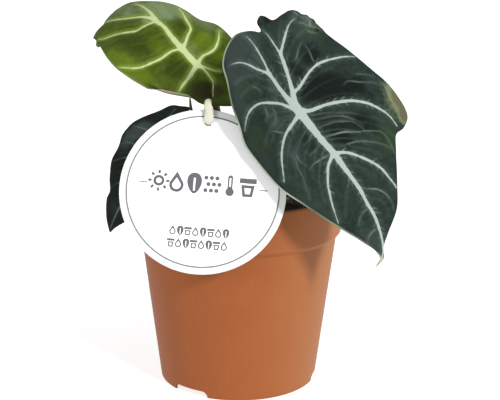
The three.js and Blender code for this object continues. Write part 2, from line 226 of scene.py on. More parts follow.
def make_piece(
    name: str,
    points: Array,
    faces: Sequence[Sequence[int]],
    finishes: Sequence[bpy.types.Material],
    finish_of_face: Sequence[int] | None = None,
    fields: dict[str, Array] | None = None,
    sharp_deg: float = 180.0,
) -> bpy.types.Object:
    """Makes a smooth-shaded mesh object, with its faces turned outwards.

    Args:
        name: The object's name.
        points: Vertices, in millimetres.
        faces: Vertex numbers of each face.
        finishes: The object's materials.
        finish_of_face: Which material each face has, if more than one.
        fields: Three values for each vertex that the materials read, by name.
        sharp_deg: Edges that turn by more than this stay sharp.

    Returns:
        The object, linked to the scene.
    """
    mesh = bpy.data.meshes.new(name)
    mesh.from_pydata((np.asarray(points) * MM).tolist(), [], [list(f) for f in faces])
    for finish in finishes:
        mesh.materials.append(finish)
    if finish_of_face is not None:
        mesh.polygons.foreach_set("material_index", np.asarray(finish_of_face, np.int32))
    for label, values in (fields or {}).items():
        layer = mesh.attributes.new(label, "FLOAT_VECTOR", "POINT")
        layer.data.foreach_set("vector", np.ascontiguousarray(values, np.float32).ravel())
    work = bmesh.new()
    work.from_mesh(mesh)
    if work.calc_volume(signed=True) < 0:
        bmesh.ops.reverse_faces(work, faces=work.faces)
    work.to_mesh(mesh)
    work.free()
    mesh.polygons.foreach_set("use_smooth", np.ones(len(mesh.polygons), bool))
    mesh.set_sharp_from_angle(angle=math.radians(sharp_deg))
    mesh.update()
    return link_object(name, mesh)


def settle(piece: bpy.types.Object, slot: str, *nodes: str) -> None:
    """Lets a piece ride on the part in place of its nodes, and logs it.

    Args:
        piece: The finished object.
        slot: The record's material slot, which only the log names.
        nodes: The nodes that it stands for.
    """
    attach(piece, "root")
    if nodes:
        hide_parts(*nodes)
    LOG.info("%s: %d faces, for %s", piece.name, len(piece.data.polygons), ", ".join(nodes) or slot)


def tube_faces(rings: int, sides: int, closed: bool = False) -> Faces:
    """Faces of a tube of rings, with flat ends, which come last, unless it is closed.

    Args:
        rings: How many rings of vertices there are.
        sides: Vertices in each ring.
        closed: Whether the last ring joins the first.

    Returns:
        Vertex numbers of each face.
    """
    faces = []
    for i in range(rings if closed else rings - 1):
        a = i * sides
        b = (i + 1) % rings * sides
        for j in range(sides):
            k = (j + 1) % sides
            faces.append([a + j, a + k, b + k, b + j])
    if not closed:
        faces.append(list(range(sides))[::-1])
        faces.append([(rings - 1) * sides + j for j in range(sides)])
    return faces


def poled(rings: Sequence[Array], first_z: float, last_z: float) -> Solid:
    """Closes a stack of level rings with a fan at each end, to a pole on the upright axis.

    Args:
        rings: The rings' vertices, all with the same number of sides.
        first_z: Height of the pole before the first ring.
        last_z: Height of the pole after the last ring.

    Returns:
        The solid's vertices and faces.
    """
    sides = len(rings[0])
    points = np.vstack([[(0, 0, first_z)], *rings, [(0, 0, last_z)]])
    last = len(points) - 1
    faces = [[v + 1 for v in face] for face in tube_faces(len(rings), sides)[:-2]]
    for j in range(sides):
        k = (j + 1) % sides
        faces.append([0, 1 + k, 1 + j])
        faces.append([last, last - sides + j, last - sides + k])
    return points, faces


def joined(parts: Sequence[Solid]) -> Solid:
    """Puts separate solids together as one mesh's vertices and faces."""
    faces = []
    start = 0
    for points, own in parts:
        faces += [[start + v for v in face] for face in own]
        start += len(points)
    return np.vstack([points for points, _ in parts]), faces


def round_sections(size: Array) -> Array:
    """Turns radii, a row for each place and a column for each side, into ring offsets."""
    angle = angles(size.shape[1])
    return np.stack([size * np.cos(angle), size * np.sin(angle)], axis=2)


def carried(path: Array, sections: Array, closed: bool = False) -> Array:
    """Carries cross sections along a path, without twist.

    Args:
        path: Places along the path.
        sections: For each place, offsets (side, up) of its ring's vertices.
        closed: Whether the path runs back to its first place.

    Returns:
        The rings' vertices, one after the other.
    """
    if closed:
        heading = np.roll(path, -1, axis=0) - np.roll(path, 1, axis=0)
    else:
        heading = np.gradient(path, axis=0)
    heading /= np.linalg.norm(heading, axis=1)[:, None]
    side = np.cross(heading[0], (0.0, 0.0, 1.0))
    if np.linalg.norm(side) < 0.1:
        side = np.array([1.0, 0.0, 0.0])
    sides = np.zeros_like(path)
    for i, direction in enumerate(heading):
        side = side - side.dot(direction) * direction
        side /= np.linalg.norm(side)
        sides[i] = side
    if closed:
        back = side - side.dot(heading[0]) * heading[0]
        turn = math.atan2(np.cross(sides[0], back).dot(heading[0]), back.dot(sides[0]))
        share = np.linspace(0, 1, len(path), endpoint=False)[:, None] * turn
        sides = sides * np.cos(share) - np.cross(heading, sides) * np.sin(share)
    ups = np.cross(heading, sides)
    rings = path[:, None] + sections[..., :1] * sides[:, None] + sections[..., 1:] * ups[:, None]
    return rings.reshape(-1, 3)


# ---------------------------------------------------------------- finishes


def add_node(
    tree: Tree, kind: str, settings: Settings | None = None, links: Links | None = None
) -> bpy.types.Node:
    """Adds a node with its settings and links.

    Args:
        tree: The node tree.
        kind: The node's type.
        settings: Values of its properties or of its input sockets.
        links: Sockets that feed its inputs.

    Returns:
        The new node.
    """
    node = tree.nodes.new(kind)
    for name, value in (settings or {}).items():
        if isinstance(name, str) and hasattr(node, name):
            setattr(node, name, value)
        else:
            node.inputs[name].default_value = value
    for name, source in (links or {}).items():
        tree.links.new(source, node.inputs[name])
    return node


def lay(
    tree: Tree,
    below: Socket,
    colour: str,
    where: Socket,
    full: float,
    none: float,
    strength: float = 1.0,
    gain: Socket | None = None,
) -> Socket:
    """Lays a colour over what is below it, fading out over a range of a value.

    Args:
        tree: The node tree.
        below: The colour so far.
        colour: The sRGB colour laid over it.
        where: The value that says where.
        full: The value at which the colour is at full strength.
        none: The value at which it is gone.
        strength: How much it covers at most.
        gain: A value that scales the strength from place to place.

    Returns:
        The new colour.
    """
    fade = {"interpolation_type": "SMOOTHSTEP", "From Min": none, "From Max": full, "To Max": strength}
    mask = add_node(tree, "ShaderNodeMapRange", fade, {"Value": where}).outputs[0]
    if gain is not None:
        product = add_node(tree, "ShaderNodeMath", {"operation": "MULTIPLY"}, {0: mask, 1: gain})
        mask = product.outputs[0]
    paint = {"data_type": "RGBA", 7: linear(colour)}
    return add_node(tree, "ShaderNodeMix", paint, {0: mask, 6: below}).outputs[2]


@dataclass(frozen=True)
class Finish:
    """A named finish: the shader's constant values, and a pattern painted by its nodes."""

    name: str

    def constants(self) -> Settings:
        """Values for the shader's own sockets."""
        return {}

    def paint(self, tree: Tree) -> Links:
        """Adds the pattern's nodes, and tells which of the shader's sockets each output feeds."""
        return {}

    def grained(self, tree: Tree, grain: Socket, rough: Point2, bump: float, depth: float) -> Links:
        """Lets roughness and relief follow one grain.

        Args:
            tree: The node tree.
            grain: The grain's value.
            rough: Roughness in its hollows and on its crests.
            bump: Strength of the relief.
            depth: Depth of the relief, in millimetres.

        Returns:
            The shader's roughness and normal.
        """
        spread = {"To Min": rough[0], "To Max": rough[1]}
        relief = {"Strength": bump, "Distance": depth * MM}
        return {
            "Roughness": add_node(tree, "ShaderNodeMapRange", spread, {"Value": grain}).outputs[0],
            "Normal": add_node(tree, "ShaderNodeBump", relief, {"Height": grain}).outputs[0],
        }

    def material(self) -> bpy.types.Material:
        """Makes the Blender material."""
        material = bpy.data.materials.new(self.name)
        material.use_nodes = True
        tree = material.node_tree
        shader = tree.nodes["Principled BSDF"]
        for socket, value in self.constants().items():
            shader.inputs[socket].default_value = value
        for socket, source in self.paint(tree).items():
            tree.links.new(source, shader.inputs[socket])
        return material


@dataclass(frozen=True)
class LeafFinish(Finish):
    """A living leaf's face: its own colours, with painted sheen and painted shade laid in patches.

    The velvet-leaved kinds carry a nap of tiny domed cells, which scatter light as cloth does:
    almost no gloss and a near-black heart. The grey sheen where the nap turns is painted into the
    colour in patches. The main veins are bare of the nap and read as pale, slightly waxy lines,
    and the finer ones show through it more faintly, each with its own strength.
    """

    deep: str
    fresh: str
    heart: str
    halo: str
    # painted sheen: the grey the nap shows where it catches the light, laid into the colour
    painted_sheen: str
    olive: str
    fine_vein: str
    vein: str
    edge: str
    # real stains on the front leaf; on the young leaf these two colours are painted shade
    stain_and_shade: str
    stain_and_shade_rim: str
    cloud_mm: float = 14.0
    mottle_mm: float = 2.2
    mottle_amount: float = 0.3
    nap_mm: float = 0.35
    halo_mm: float = 2.4
    halo_amount: float = 0.3
    ridge_mm: Point2 = (0.5, 1.7)
    ridge_amount: float = 0.25
    fine_mm: Point2 = (0.12, 0.5)
    vein_mm: Point2 = (0.0, 0.4)
    edge_mm: Point2 = (0.6, 1.15)
    sheen: float = 0.065
    sheen_tint: str = "#ffffff"
    gloss: float = 0.08
    roughness: float = 0.75
    vein_roughness: float = 0.45
    nap_depth_mm: float = 0.12
    mottle_depth_mm: float = 0.4

    def constants(self) -> Settings:
        """Sheen and gloss of the nap."""
        return {
            "Sheen Weight": self.sheen,
            "Sheen Roughness": 0.45,
            "Sheen Tint": linear(self.sheen_tint),
            "IOR": 1.42,
            "Specular IOR Level": self.gloss,
        }

    def paint(self, tree: Tree) -> Links:
        """Clouded lamina, dark hearts, painted sheen, stains and painted shade, then the veins and the
        margin.
        """
        read = {
            name: add_node(tree, "ShaderNodeAttribute", {"attribute_name": name}).outputs["Vector"]
            for name in ("flat", "lines", "tones", "marks")
        }
        (vein, fine, margin), (dark, painted_sheen, stain_and_shade), (light, olive, pale_edge) = (
            add_node(tree, "ShaderNodeSeparateXYZ", links={0: read[name]}).outputs
            for name in ("lines", "tones", "marks")
        )
        cloud, drift, mottle, nap = (
            add_node(
                tree, "ShaderNodeTexNoise", {"Scale": 1 / size, "Detail": detail, "Roughness": 0.6},
                {"Vector": read["flat"]},
            ).outputs["Fac"]
            for size, detail in (
                (self.cloud_mm, 4.0), (self.cloud_mm * 0.6, 5.0), (self.mottle_mm, 4.0), (self.nap_mm, 2.0)
            )
        )
        lamina = {"data_type": "RGBA", 6: linear(self.deep), 7: linear(self.fresh)}
        colour = add_node(tree, "ShaderNodeMix", lamina, {0: cloud}).outputs[2]
        stain_and_shade_mask, ragged, drifting, fading = (
            add_node(
                tree, "ShaderNodeMath", {"operation": "MULTIPLY_ADD", 1: share}, {0: source, 2: below}
            ).outputs[0]
            for source, below, share in (
                (mottle, stain_and_shade, 0.6), (nap, vein, 0.5), (drift, painted_sheen, 0.9), (drift, olive, 0.9)
            )
        )
        near_ridge, far_ridge = self.ridge_mm
        for shade, where, full, none, strength, gain in (
            (self.fresh, mottle, 0.66, 0.46, self.mottle_amount, None),
            (self.heart, mottle, 0.36, 0.52, self.mottle_amount, None),
            (self.olive, fading, 1.35, 0.4, 0.9, None),
            # painted sheen laid over the lamina in patches
            (self.painted_sheen, drifting, 1.35, 0.4, 0.9, None),
            (self.heart, fine, far_ridge, near_ridge, self.ridge_amount, None),
            (self.heart, dark, 1.0, 0.0, 0.85, None),
            # lighter along the main veins: partly a lighter green, partly painted velvet sheen
            (self.halo, vein, 0.0, self.halo_mm, self.halo_amount, None),
            # stains, and on the young leaf painted shade
            (self.stain_and_shade, stain_and_shade_mask, 1.05, 0.35, 0.95, None),
            (self.stain_and_shade_rim, stain_and_shade_mask, 1.4, 1.05, 0.85, None),
            (self.fine_vein, fine, *self.fine_mm, 1.0, light),
            (self.vein, ragged, *self.vein_mm, 0.97, None),
            (self.edge, margin, *self.edge_mm, 0.95, pale_edge),
        ):
            colour = lay(tree, colour, shade, where, full, none, strength, gain)
        waxy = {"From Min": -0.3, "From Max": 0.6, "To Min": self.vein_roughness, "To Max": self.roughness}
        fuzz = {"Strength": 0.4, "Distance": self.nap_depth_mm * MM}
        nap_relief = add_node(tree, "ShaderNodeBump", fuzz, {"Height": nap}).outputs[0]
        pitted = {"Strength": 0.5, "Distance": self.mottle_depth_mm * MM}
        relief = add_node(tree, "ShaderNodeBump", pitted, {"Height": mottle, "Normal": nap_relief})
        return {
            "Base Color": colour,
            "Roughness": add_node(tree, "ShaderNodeMapRange", waxy, {"Value": vein}).outputs[0],
            "Normal": relief.outputs[0],
        }


@dataclass(frozen=True)
class MottledFinish(Finish):
    """A finish of two colours in soft clouds, with a third in specks and a fine grain.

    It serves what grew or was pressed from mixed stuff: stalks, sheaths, crown and bark.
    """

    base: str
    cloud: str
    speck: str
    cloud_mm: float = 8.0
    stretch: Point3 = (1.0, 1.0, 0.3)
    speck_mm: float = 1.2
    speck_share: float = 0.4
    grain_mm: float = 0.5
    grain_depth_mm: float = 0.1
    roughness: float = 0.6
    sheen: float = 0.0

    def constants(self) -> Settings:
        """Gloss of the skin."""
        return {"Sheen Weight": self.sheen, "IOR": 1.45, "Specular IOR Level": 0.3}

    def paint(self, tree: Tree) -> Links:
        """Clouds, specks and grain in object space, drawn out along the stretch."""
        place = add_node(tree, "ShaderNodeTexCoord").outputs["Object"]
        longer = {"Scale": Vector(self.stretch)}
        along = add_node(tree, "ShaderNodeMapping", longer, {"Vector": place}).outputs[0]
        clouds, specks, grain = (
            add_node(
                tree, "ShaderNodeTexNoise", {"Scale": 1 / (size * MM), "Detail": detail}, {"Vector": along}
            ).outputs["Fac"]
            for size, detail in ((self.cloud_mm, 4.0), (self.speck_mm, 2.0), (self.grain_mm, 3.0))
        )
        tones = {"data_type": "RGBA", 6: linear(self.base), 7: linear(self.cloud)}
        colour = add_node(tree, "ShaderNodeMix", tones, {0: clouds}).outputs[2]
        full = 0.72 - 0.3 * self.speck_share
        colour = lay(tree, colour, self.speck, specks, full, full - 0.1, 0.8)
        rough = (self.roughness - 0.1, self.roughness + 0.1)
        return {"Base Color": colour} | self.grained(tree, grain, rough, 0.6, self.grain_depth_mm)


@dataclass(frozen=True)
class MouldedPotFinish(Finish):
    """Injection-moulded polypropylene, coloured like fired clay.

    It is a matt-satin plastic with flow clouds in the colour, fine upright drag lines from
    the mould, a little dust, a painted highlight that pales its +X side, and crumbs of mix
    that stick under the rim.
    """

    clay: str = "#8e502b"
    flow: str = "#854824"
    dust: str = "#9a6c4d"
    # painted highlight: the paler colour of the +X side
    painted_lit_side: str = "#996b44"
    soil: str = "#2f2119"
    flow_mm: float = 22.0
    drag_mm: float = 1.4
    drag_stretch: Point3 = (1.0, 1.0, 0.12)
    peel_mm: float = 0.6
    crumb_mm: float = 1.1
    painted_lit_side_span: Point2 = (0.005, 0.055)
    soiled_from_to: Point2 = (0.085, 0.11)

    def constants(self) -> Settings:
        """Typical polypropylene."""
        return {"IOR": 1.49, "Specular IOR Level": 0.12}

    def paint(self, tree: Tree) -> Links:
        """Flow clouds, drag lines, dust, a painted highlight on the +X side, and soil specks."""
        place = add_node(tree, "ShaderNodeTexCoord").outputs["Object"]
        upright = {"Scale": Vector(self.drag_stretch)}
        tall = add_node(tree, "ShaderNodeMapping", upright, {"Vector": place}).outputs[0]
        flow, drag, peel, crumbs = (
            add_node(
                tree, "ShaderNodeTexNoise",
                {"Scale": 1 / (size * MM), "Detail": detail, "Roughness": rough}, {"Vector": where},
            ).outputs["Fac"]
            for size, detail, rough, where in (
                (self.flow_mm, 3.0, 0.5, place), (self.drag_mm, 2.0, 0.5, tall),
                (self.peel_mm, 2.0, 0.5, place), (self.crumb_mm, 3.0, 0.7, place),
            )
        )
        across, _, height = add_node(tree, "ShaderNodeSeparateXYZ", links={0: place}).outputs
        low, high = self.soiled_from_to
        under_rim = {"From Min": low, "From Max": high, "To Min": -0.12, "To Max": 0.0}
        near_rim = add_node(tree, "ShaderNodeMapRange", under_rim, {"Value": height}).outputs[0]
        dirt = add_node(tree, "ShaderNodeMath", {"operation": "ADD"}, {0: crumbs, 1: near_rim}).outputs[0]
        tones = {"data_type": "RGBA", 6: linear(self.flow), 7: linear(self.clay)}
        colour = add_node(tree, "ShaderNodeMix", tones, {0: flow}).outputs[2]
        colour = lay(tree, colour, self.dust, drag, 0.75, 0.45, 0.06)
        # painted highlight: the colour pales towards the +X side
        colour = lay(tree, colour, self.painted_lit_side, across, *self.painted_lit_side_span[::-1], 0.5)
        colour = lay(tree, colour, self.soil, dirt, 0.76, 0.7, 0.75)
        satin = {"To Min": 0.42, "To Max": 0.58}
        drawn_lines = {"Strength": 0.12, "Distance": 0.04 * MM}
        lines = add_node(tree, "ShaderNodeBump", drawn_lines, {"Height": drag}).outputs[0]
        skin = {"Strength": 0.3, "Distance": 0.05 * MM}
        return {
            "Base Color": colour,
            "Roughness": add_node(tree, "ShaderNodeMapRange", satin, {"Value": flow}).outputs[0],
            "Normal": add_node(tree, "ShaderNodeBump", skin, {"Height": peel, "Normal": lines}).outputs[0],
        }


@dataclass(frozen=True)
class PressedFibreFinish(Finish):
    """Paper-like stock or spun cotton: matt, faintly fibrous, with a soft stain of its own tone.

    Card is pressed wood pulp with a smooth clay coat; cotton cord shows its spun fibres.
    """

    base: str
    shade: str
    fibre_mm: float = 0.4
    depth_mm: float = 0.02
    roughness: float = 0.6
    sheen: float = 0.0
    lit: float = 0.0

    def constants(self) -> Settings:
        """Matt, a little fuzzy, and lit from behind where it is the studio's own floor."""
        return {
            "Sheen Weight": self.sheen, "Sheen Roughness": 0.6, "IOR": 1.45,
            "Emission Color": linear("#ffffff"), "Emission Strength": self.lit,
        }

    def paint(self, tree: Tree) -> Links:
        """Fibre tone, roughness and relief."""
        place = add_node(tree, "ShaderNodeTexCoord").outputs["Object"]
        spun = {"Scale": 1 / (self.fibre_mm * MM), "Detail": 4.0, "Distortion": 1.5}
        fibre = add_node(tree, "ShaderNodeTexNoise", spun, {"Vector": place}).outputs["Fac"]
        tones = {"data_type": "RGBA", 6: linear(self.shade), 7: linear(self.base)}
        colour = add_node(tree, "ShaderNodeMix", tones, {0: fibre}).outputs[2]
        rough = (self.roughness - 0.06, self.roughness + 0.06)
        return {"Base Color": colour} | self.grained(tree, fibre, rough, 0.4, self.depth_mm)


VELVET_FACE = LeafFinish(
    "velvet_leaf_face",
    deep="#18221d", fresh="#2e3c34", heart="#080d0b", halo="#37443e", painted_sheen="#394340",
    olive="#2b3a29", fine_vein="#74847b", vein="#97a19a", edge="#9ca692",
    stain_and_shade="#656d51", stain_and_shade_rim="#534f3a", sheen_tint="#b8ccc4",
)
# A darker copy of the front leaf's velvet face, with dimmer veins: painted shade for the leaf behind the
# card.
REAR_FACE_SHADED = LeafFinish(
    "velvet_leaf_face_rear_shaded",
    deep="#121815", fresh="#1f251e", heart="#0c110f", halo="#212b26", painted_sheen="#3c4644",
    olive="#262b1f", fine_vein="#3a4540", vein="#5a6861", edge="#2a302b",
    stain_and_shade="#5b5e43", stain_and_shade_rim="#675239", halo_amount=0.2, sheen=0.035, sheen_tint="#b8ccc4",
)
# its stain colours are near-black browns that serve as painted shade
YOUNG_FACE = LeafFinish(
    "young_leaf_face",
    deep="#313f07", fresh="#485a0d", heart="#283404", halo="#748a30", painted_sheen="#74845f",
    olive="#586c0d", fine_vein="#5c7123", vein="#b3bf8c", edge="#77724c",
    stain_and_shade="#2b2a0c", stain_and_shade_rim="#27250b", cloud_mm=12.0, mottle_mm=3.0, mottle_amount=0.3,
    halo_mm=2.5, halo_amount=0.54, ridge_amount=0.15, sheen=0.04, sheen_tint="#dfe8d8",
    gloss=0.17, roughness=0.5, vein_roughness=0.4, vein_mm=(-0.25, 0.5), nap_depth_mm=0.06,
)
VELVET_BACK = LeafFinish(
    "velvet_leaf_back",
    deep="#595f49", fresh="#6e755d", heart="#4e5141", halo="#777d65", painted_sheen="#737762",
    olive="#676d4f", fine_vein="#61564b", vein="#848567", edge="#81756a",
    stain_and_shade="#656047", stain_and_shade_rim="#675239", halo_amount=0.4, sheen=0.03, gloss=0.2, roughness=0.55,
)
YOUNG_BACK = LeafFinish(
    "young_leaf_back",
    deep="#697246", fresh="#7e8759", heart="#697246", halo="#889163", painted_sheen="#808363",
    olive="#7e8759", fine_vein="#70774c", vein="#959d74", edge="#978874",
    stain_and_shade="#8c7563", stain_and_shade_rim="#8c7563", halo_amount=0.4, sheen=0.03, gloss=0.27, roughness=0.5,
)
# the stalk skin is darker than a live stalk's pale green: partly painted shade
STALK_SKIN = MottledFinish(
    "stalk_skin", base="#4e5332", cloud="#615f3d", speck="#543c30", cloud_mm=5.0, speck_mm=0.9,
    speck_share=0.35, grain_mm=0.5, grain_depth_mm=0.08, roughness=0.5,
)
CROWN_SKIN = MottledFinish(
    "crown_skin", base="#413c23", cloud="#5c5735", speck="#261c12", cloud_mm=4.0, speck_mm=1.6,
    speck_share=0.6, grain_mm=0.8, grain_depth_mm=0.25, roughness=0.7,
)
DRY_SHEATH = MottledFinish(
    "dry_sheath", base="#5c5f45", cloud="#74735a", speck="#463d2c", cloud_mm=3.0, speck_mm=0.8,
    speck_share=0.5, grain_mm=0.4, grain_depth_mm=0.12, roughness=0.75, sheen=0.1,
)
EVEN = (1.0, 1.0, 1.0)
PEAT = MottledFinish(
    "peat_mix", base="#110f0c", cloud="#1d1913", speck="#2a2018", cloud_mm=5.0, stretch=EVEN,
    speck_mm=1.1, speck_share=0.35, grain_mm=0.6, grain_depth_mm=0.5, roughness=0.92,
)
BARK = MottledFinish(
    "bark_crumb", base="#2f2117", cloud="#463424", speck="#1c140d", cloud_mm=3.0, stretch=EVEN,
    speck_mm=0.8, speck_share=0.5, grain_mm=0.5, grain_depth_mm=0.3, roughness=0.9,
)
PERLITE = MottledFinish(
    "perlite_grain", base="#b4b1a7", cloud="#a39e92", speck="#777166", cloud_mm=1.5, stretch=EVEN,
    speck_mm=0.6, speck_share=0.3, grain_mm=0.4, grain_depth_mm=0.2, roughness=0.9,
)
MOULDED_POT = MouldedPotFinish("moulded_pot")
COATED_CARD = PressedFibreFinish("coated_card", base="#f6f7f8", shade="#f3f4f5", roughness=0.55)
CARD_BORDER = PressedFibreFinish("card_border", base="#d4d7d5", shade="#d0d3d0", roughness=0.55)
GREY_INK = PressedFibreFinish("grey_ink", base="#5a585c", shade="#515054", roughness=0.5)
PALE_INK = PressedFibreFinish("pale_grey_ink", base="#6f7270", shade="#676a67", roughness=0.5)
SPUN_COTTON = PressedFibreFinish(
    "spun_cotton", base="#c6c4b4", shade="#b8b5a1", fibre_mm=0.5, depth_mm=0.12,
    roughness=0.85, sheen=0.15,
)
STUDIO_FLOOR = PressedFibreFinish(
    "studio_floor", base="#bcbcbc", shade="#bababa", fibre_mm=40.0, depth_mm=0.01,
    roughness=0.8, lit=0.76,
)


# ---------------------------------------------------------------- leaf blades


VEIN_STEP = 0.5
FINE_STEP = 0.25
FINE_END = 0.06


def arc_walk(length: Array, fall: Array, bend: Array) -> tuple[Array, Array]:
    """Walks along arcs that start at an angle below level: how far forward and how far down."""
    end = fall + bend * length
    return (np.sin(end) - np.sin(fall)) / bend, (np.cos(fall) - np.cos(end)) / bend


@dataclass(frozen=True)
class Sheet:
    """A bent sheet that a flat leaf is laid over; angles in degrees, bends in degrees per mm."""

    seat: Point3
    facing: float
    rise: float
    spin: float
    tip_bend: float
    base_bend: float
    plus: Point2
    minus: Point2
    curl_from: float = 1000.0
    curl_radius: float = 12.0
    crease: float = 5.0

    def axes(self) -> tuple[Array, Array, Array]:
        """The upper face's normal, the direction of the tip, and across."""
        facing, rise, spin = (math.radians(a) for a in (self.facing, self.rise, self.spin))
        ahead = np.array([math.cos(facing), math.sin(facing), 0.0])
        level = np.array([-math.sin(facing), math.cos(facing), 0.0])
        upright = np.array([0.0, 0.0, 1.0])
        normal = math.cos(rise) * ahead + math.sin(rise) * upright
        slope = math.sin(rise) * ahead - math.cos(rise) * upright
        along = slope * math.cos(spin) + level * math.sin(spin)
        return normal, along, np.cross(normal, along)

    def place(self, flat: Array, lift: Array) -> Array:
        """Lays flat points over the sheet.

        Args:
            flat: Places along and across the flat leaf.
            lift: Height of each above the sheet.

        Returns:
            Places in the part's frame.
        """
        normal, along, across = self.axes()
        past = np.maximum(flat[:, 0] - self.curl_from, 0)
        turn = past / self.curl_radius
        drop = self.curl_radius * (1 - np.cos(turn))
        u = flat[:, 0] - past + self.curl_radius * np.sin(turn)
        v = flat[:, 1]
        bend = np.radians(np.where(u >= 0, self.tip_bend, self.base_bend))
        forward, down = arc_walk(np.abs(u), np.zeros(len(u)), bend)
        local = np.sin(bend * u)[:, None] * along + np.cos(bend * u)[:, None] * normal
        fall, curve = (np.radians(np.where(v >= 0, p, m)) for p, m in zip(self.plus, self.minus))
        out, sag = arc_walk(np.abs(v), fall, curve)
        softened = np.tan(fall) * (np.abs(v) - np.sqrt(v * v + self.crease**2) + self.crease)
        rise = lift + softened - sag - drop
        return (
            np.array(self.seat)
            + (np.sign(u) * forward)[:, None] * along
            - down[:, None] * normal
            + (np.sign(v) * out)[:, None] * across
            + rise[:, None] * local
        )


@dataclass(frozen=True)
class Vein:
    """A main vein on the flat leaf, with its width at equal steps from its start to its end."""

    path: tuple[Point2, ...]
    widths: tuple[float, ...]

    def line(self, ease: float = 2.2, uneven: float = 0.16) -> tuple[Array, Array]:
        """Walks along the vein.

        Args:
            ease: How far to each side its bends are evened out, in millimetres.
            uneven: How much its width varies.

        Returns:
            Places a step apart, and half its width at each.
        """
        places = smooth_path(self.path, VEIN_STEP)
        reach = min(int(ease / VEIN_STEP), len(places) - 1)
        before = 2 * places[0] - places[reach:0:-1]
        after = 2 * places[-1] - places[-2 : -reach - 2 : -1]
        longer = np.vstack([before, places, after])
        window = np.hanning(2 * reach + 3)[1:-1]
        window /= window.sum()
        places = np.column_stack([np.convolve(longer[:, k], window, "valid") for k in (0, 1)])
        share = np.linspace(0, 1, len(places))
        stops = np.linspace(0, 1, len(self.widths))
        rough = 1 + uneven * lattice_noise(places, 1.7, 6)
        return places, np.interp(share, stops, self.widths) / 2 * rough


@dataclass(frozen=True)
class Patch:
    """A soft oval area on the flat leaf."""

    at: Point2
    reach: Point2
    amount: float
    turn: float = 0.0

    def weight(self, flat: Array) -> Array:
        """How much of the patch there is at each flat place."""
        turn = math.radians(self.turn)
        away = flat - np.array(self.at)
        along = away[:, 0] * math.cos(turn) + away[:, 1] * math.sin(turn)
        across = away[:, 1] * math.cos(turn) - away[:, 0] * math.sin(turn)
        return self.amount * ramp(1.0, 0.25, np.hypot(along / self.reach[0], across / self.reach[1]))


def total(patches: Sequence[Patch], flat: Array) -> Array:
    """The patches' weights at each flat place, added up."""
    return sum((p.weight(flat) for p in patches), np.zeros(len(flat)))


@dataclass(frozen=True)
class Spurs:
    """Short side veins that a main vein sends out all along itself, on both sides."""

    gap: float
    length: Point2
    width: float
    light: Point2
    splay_deg: Point2 = (50, 76)

    def along(self, vein: Vein, rng: np.random.Generator) -> list[Array]:
        """Draws the spurs of one main vein.

        Args:
            vein: The main vein.
            rng: Where the chances come from.

        Returns:
            One drawn line for each.
        """
        places, half = vein.line()
        heading = np.gradient(places, axis=0)
        heading /= np.linalg.norm(heading, axis=1)[:, None]
        t = np.linspace(0, 1, 9)[:, None]
        lines = []
        for side in (-1, 1):
            run = self.gap * rng.uniform(0.4, 1.2)
            while run < len(places) * VEIN_STEP * 0.96:
                i = min(int(run / VEIN_STEP), len(places) - 1)
                turn = side * math.radians(rng.uniform(*self.splay_deg))
                c, s = math.cos(turn), math.sin(turn)
                ahead = heading[i]
                way = np.array([c * ahead[0] - s * ahead[1], s * ahead[0] + c * ahead[1]])
                stout = float(np.clip(half[i] / 0.8, 0.35, 1))
                length = half[i] + rng.uniform(*self.length) * stout
                curve = places[i] + way * t * length + ahead * t * t * length * 0.3
                fade = rng.uniform(0.5, 1.0) * stout
                light = (self.light[0] * fade, self.light[1] * fade)
                lines.append(drawn(curve, (self.width, FINE_END), light))
                run += self.gap * rng.uniform(0.6, 1.5)
        return lines


def drawn(line: Array, half: Point2, light: Point2, rise: float = 0.0) -> Array:
    """Gives a fine vein its width and its light.

    Args:
        line: Places along it on the flat leaf.
        half: Half its width at its start and its end.
        light: How far it stands out from the lamina at its start and its end.
        rise: The share of its length over which it comes up out of the lamina.

    Returns:
        Rows of (along, across, half width, light).
    """
    run = run_along(line)
    at = np.linspace(0, run[-1], max(3, int(run[-1] / FINE_STEP)))
    columns = [np.interp(at, run, line[:, k]) for k in (0, 1)]
    columns += [np.interp(at, run[[0, -1]], ends) for ends in (half, light)]
    if rise:
        columns[3] = columns[3] * np.clip(at / (rise * run[-1]), 0, 1)
    return np.column_stack(columns)


@dataclass(frozen=True)
class Roll:
    """A stretch of margin that rolls over onto the upper face."""

    at: Point2
    reach: float
    width: float
    radius: float


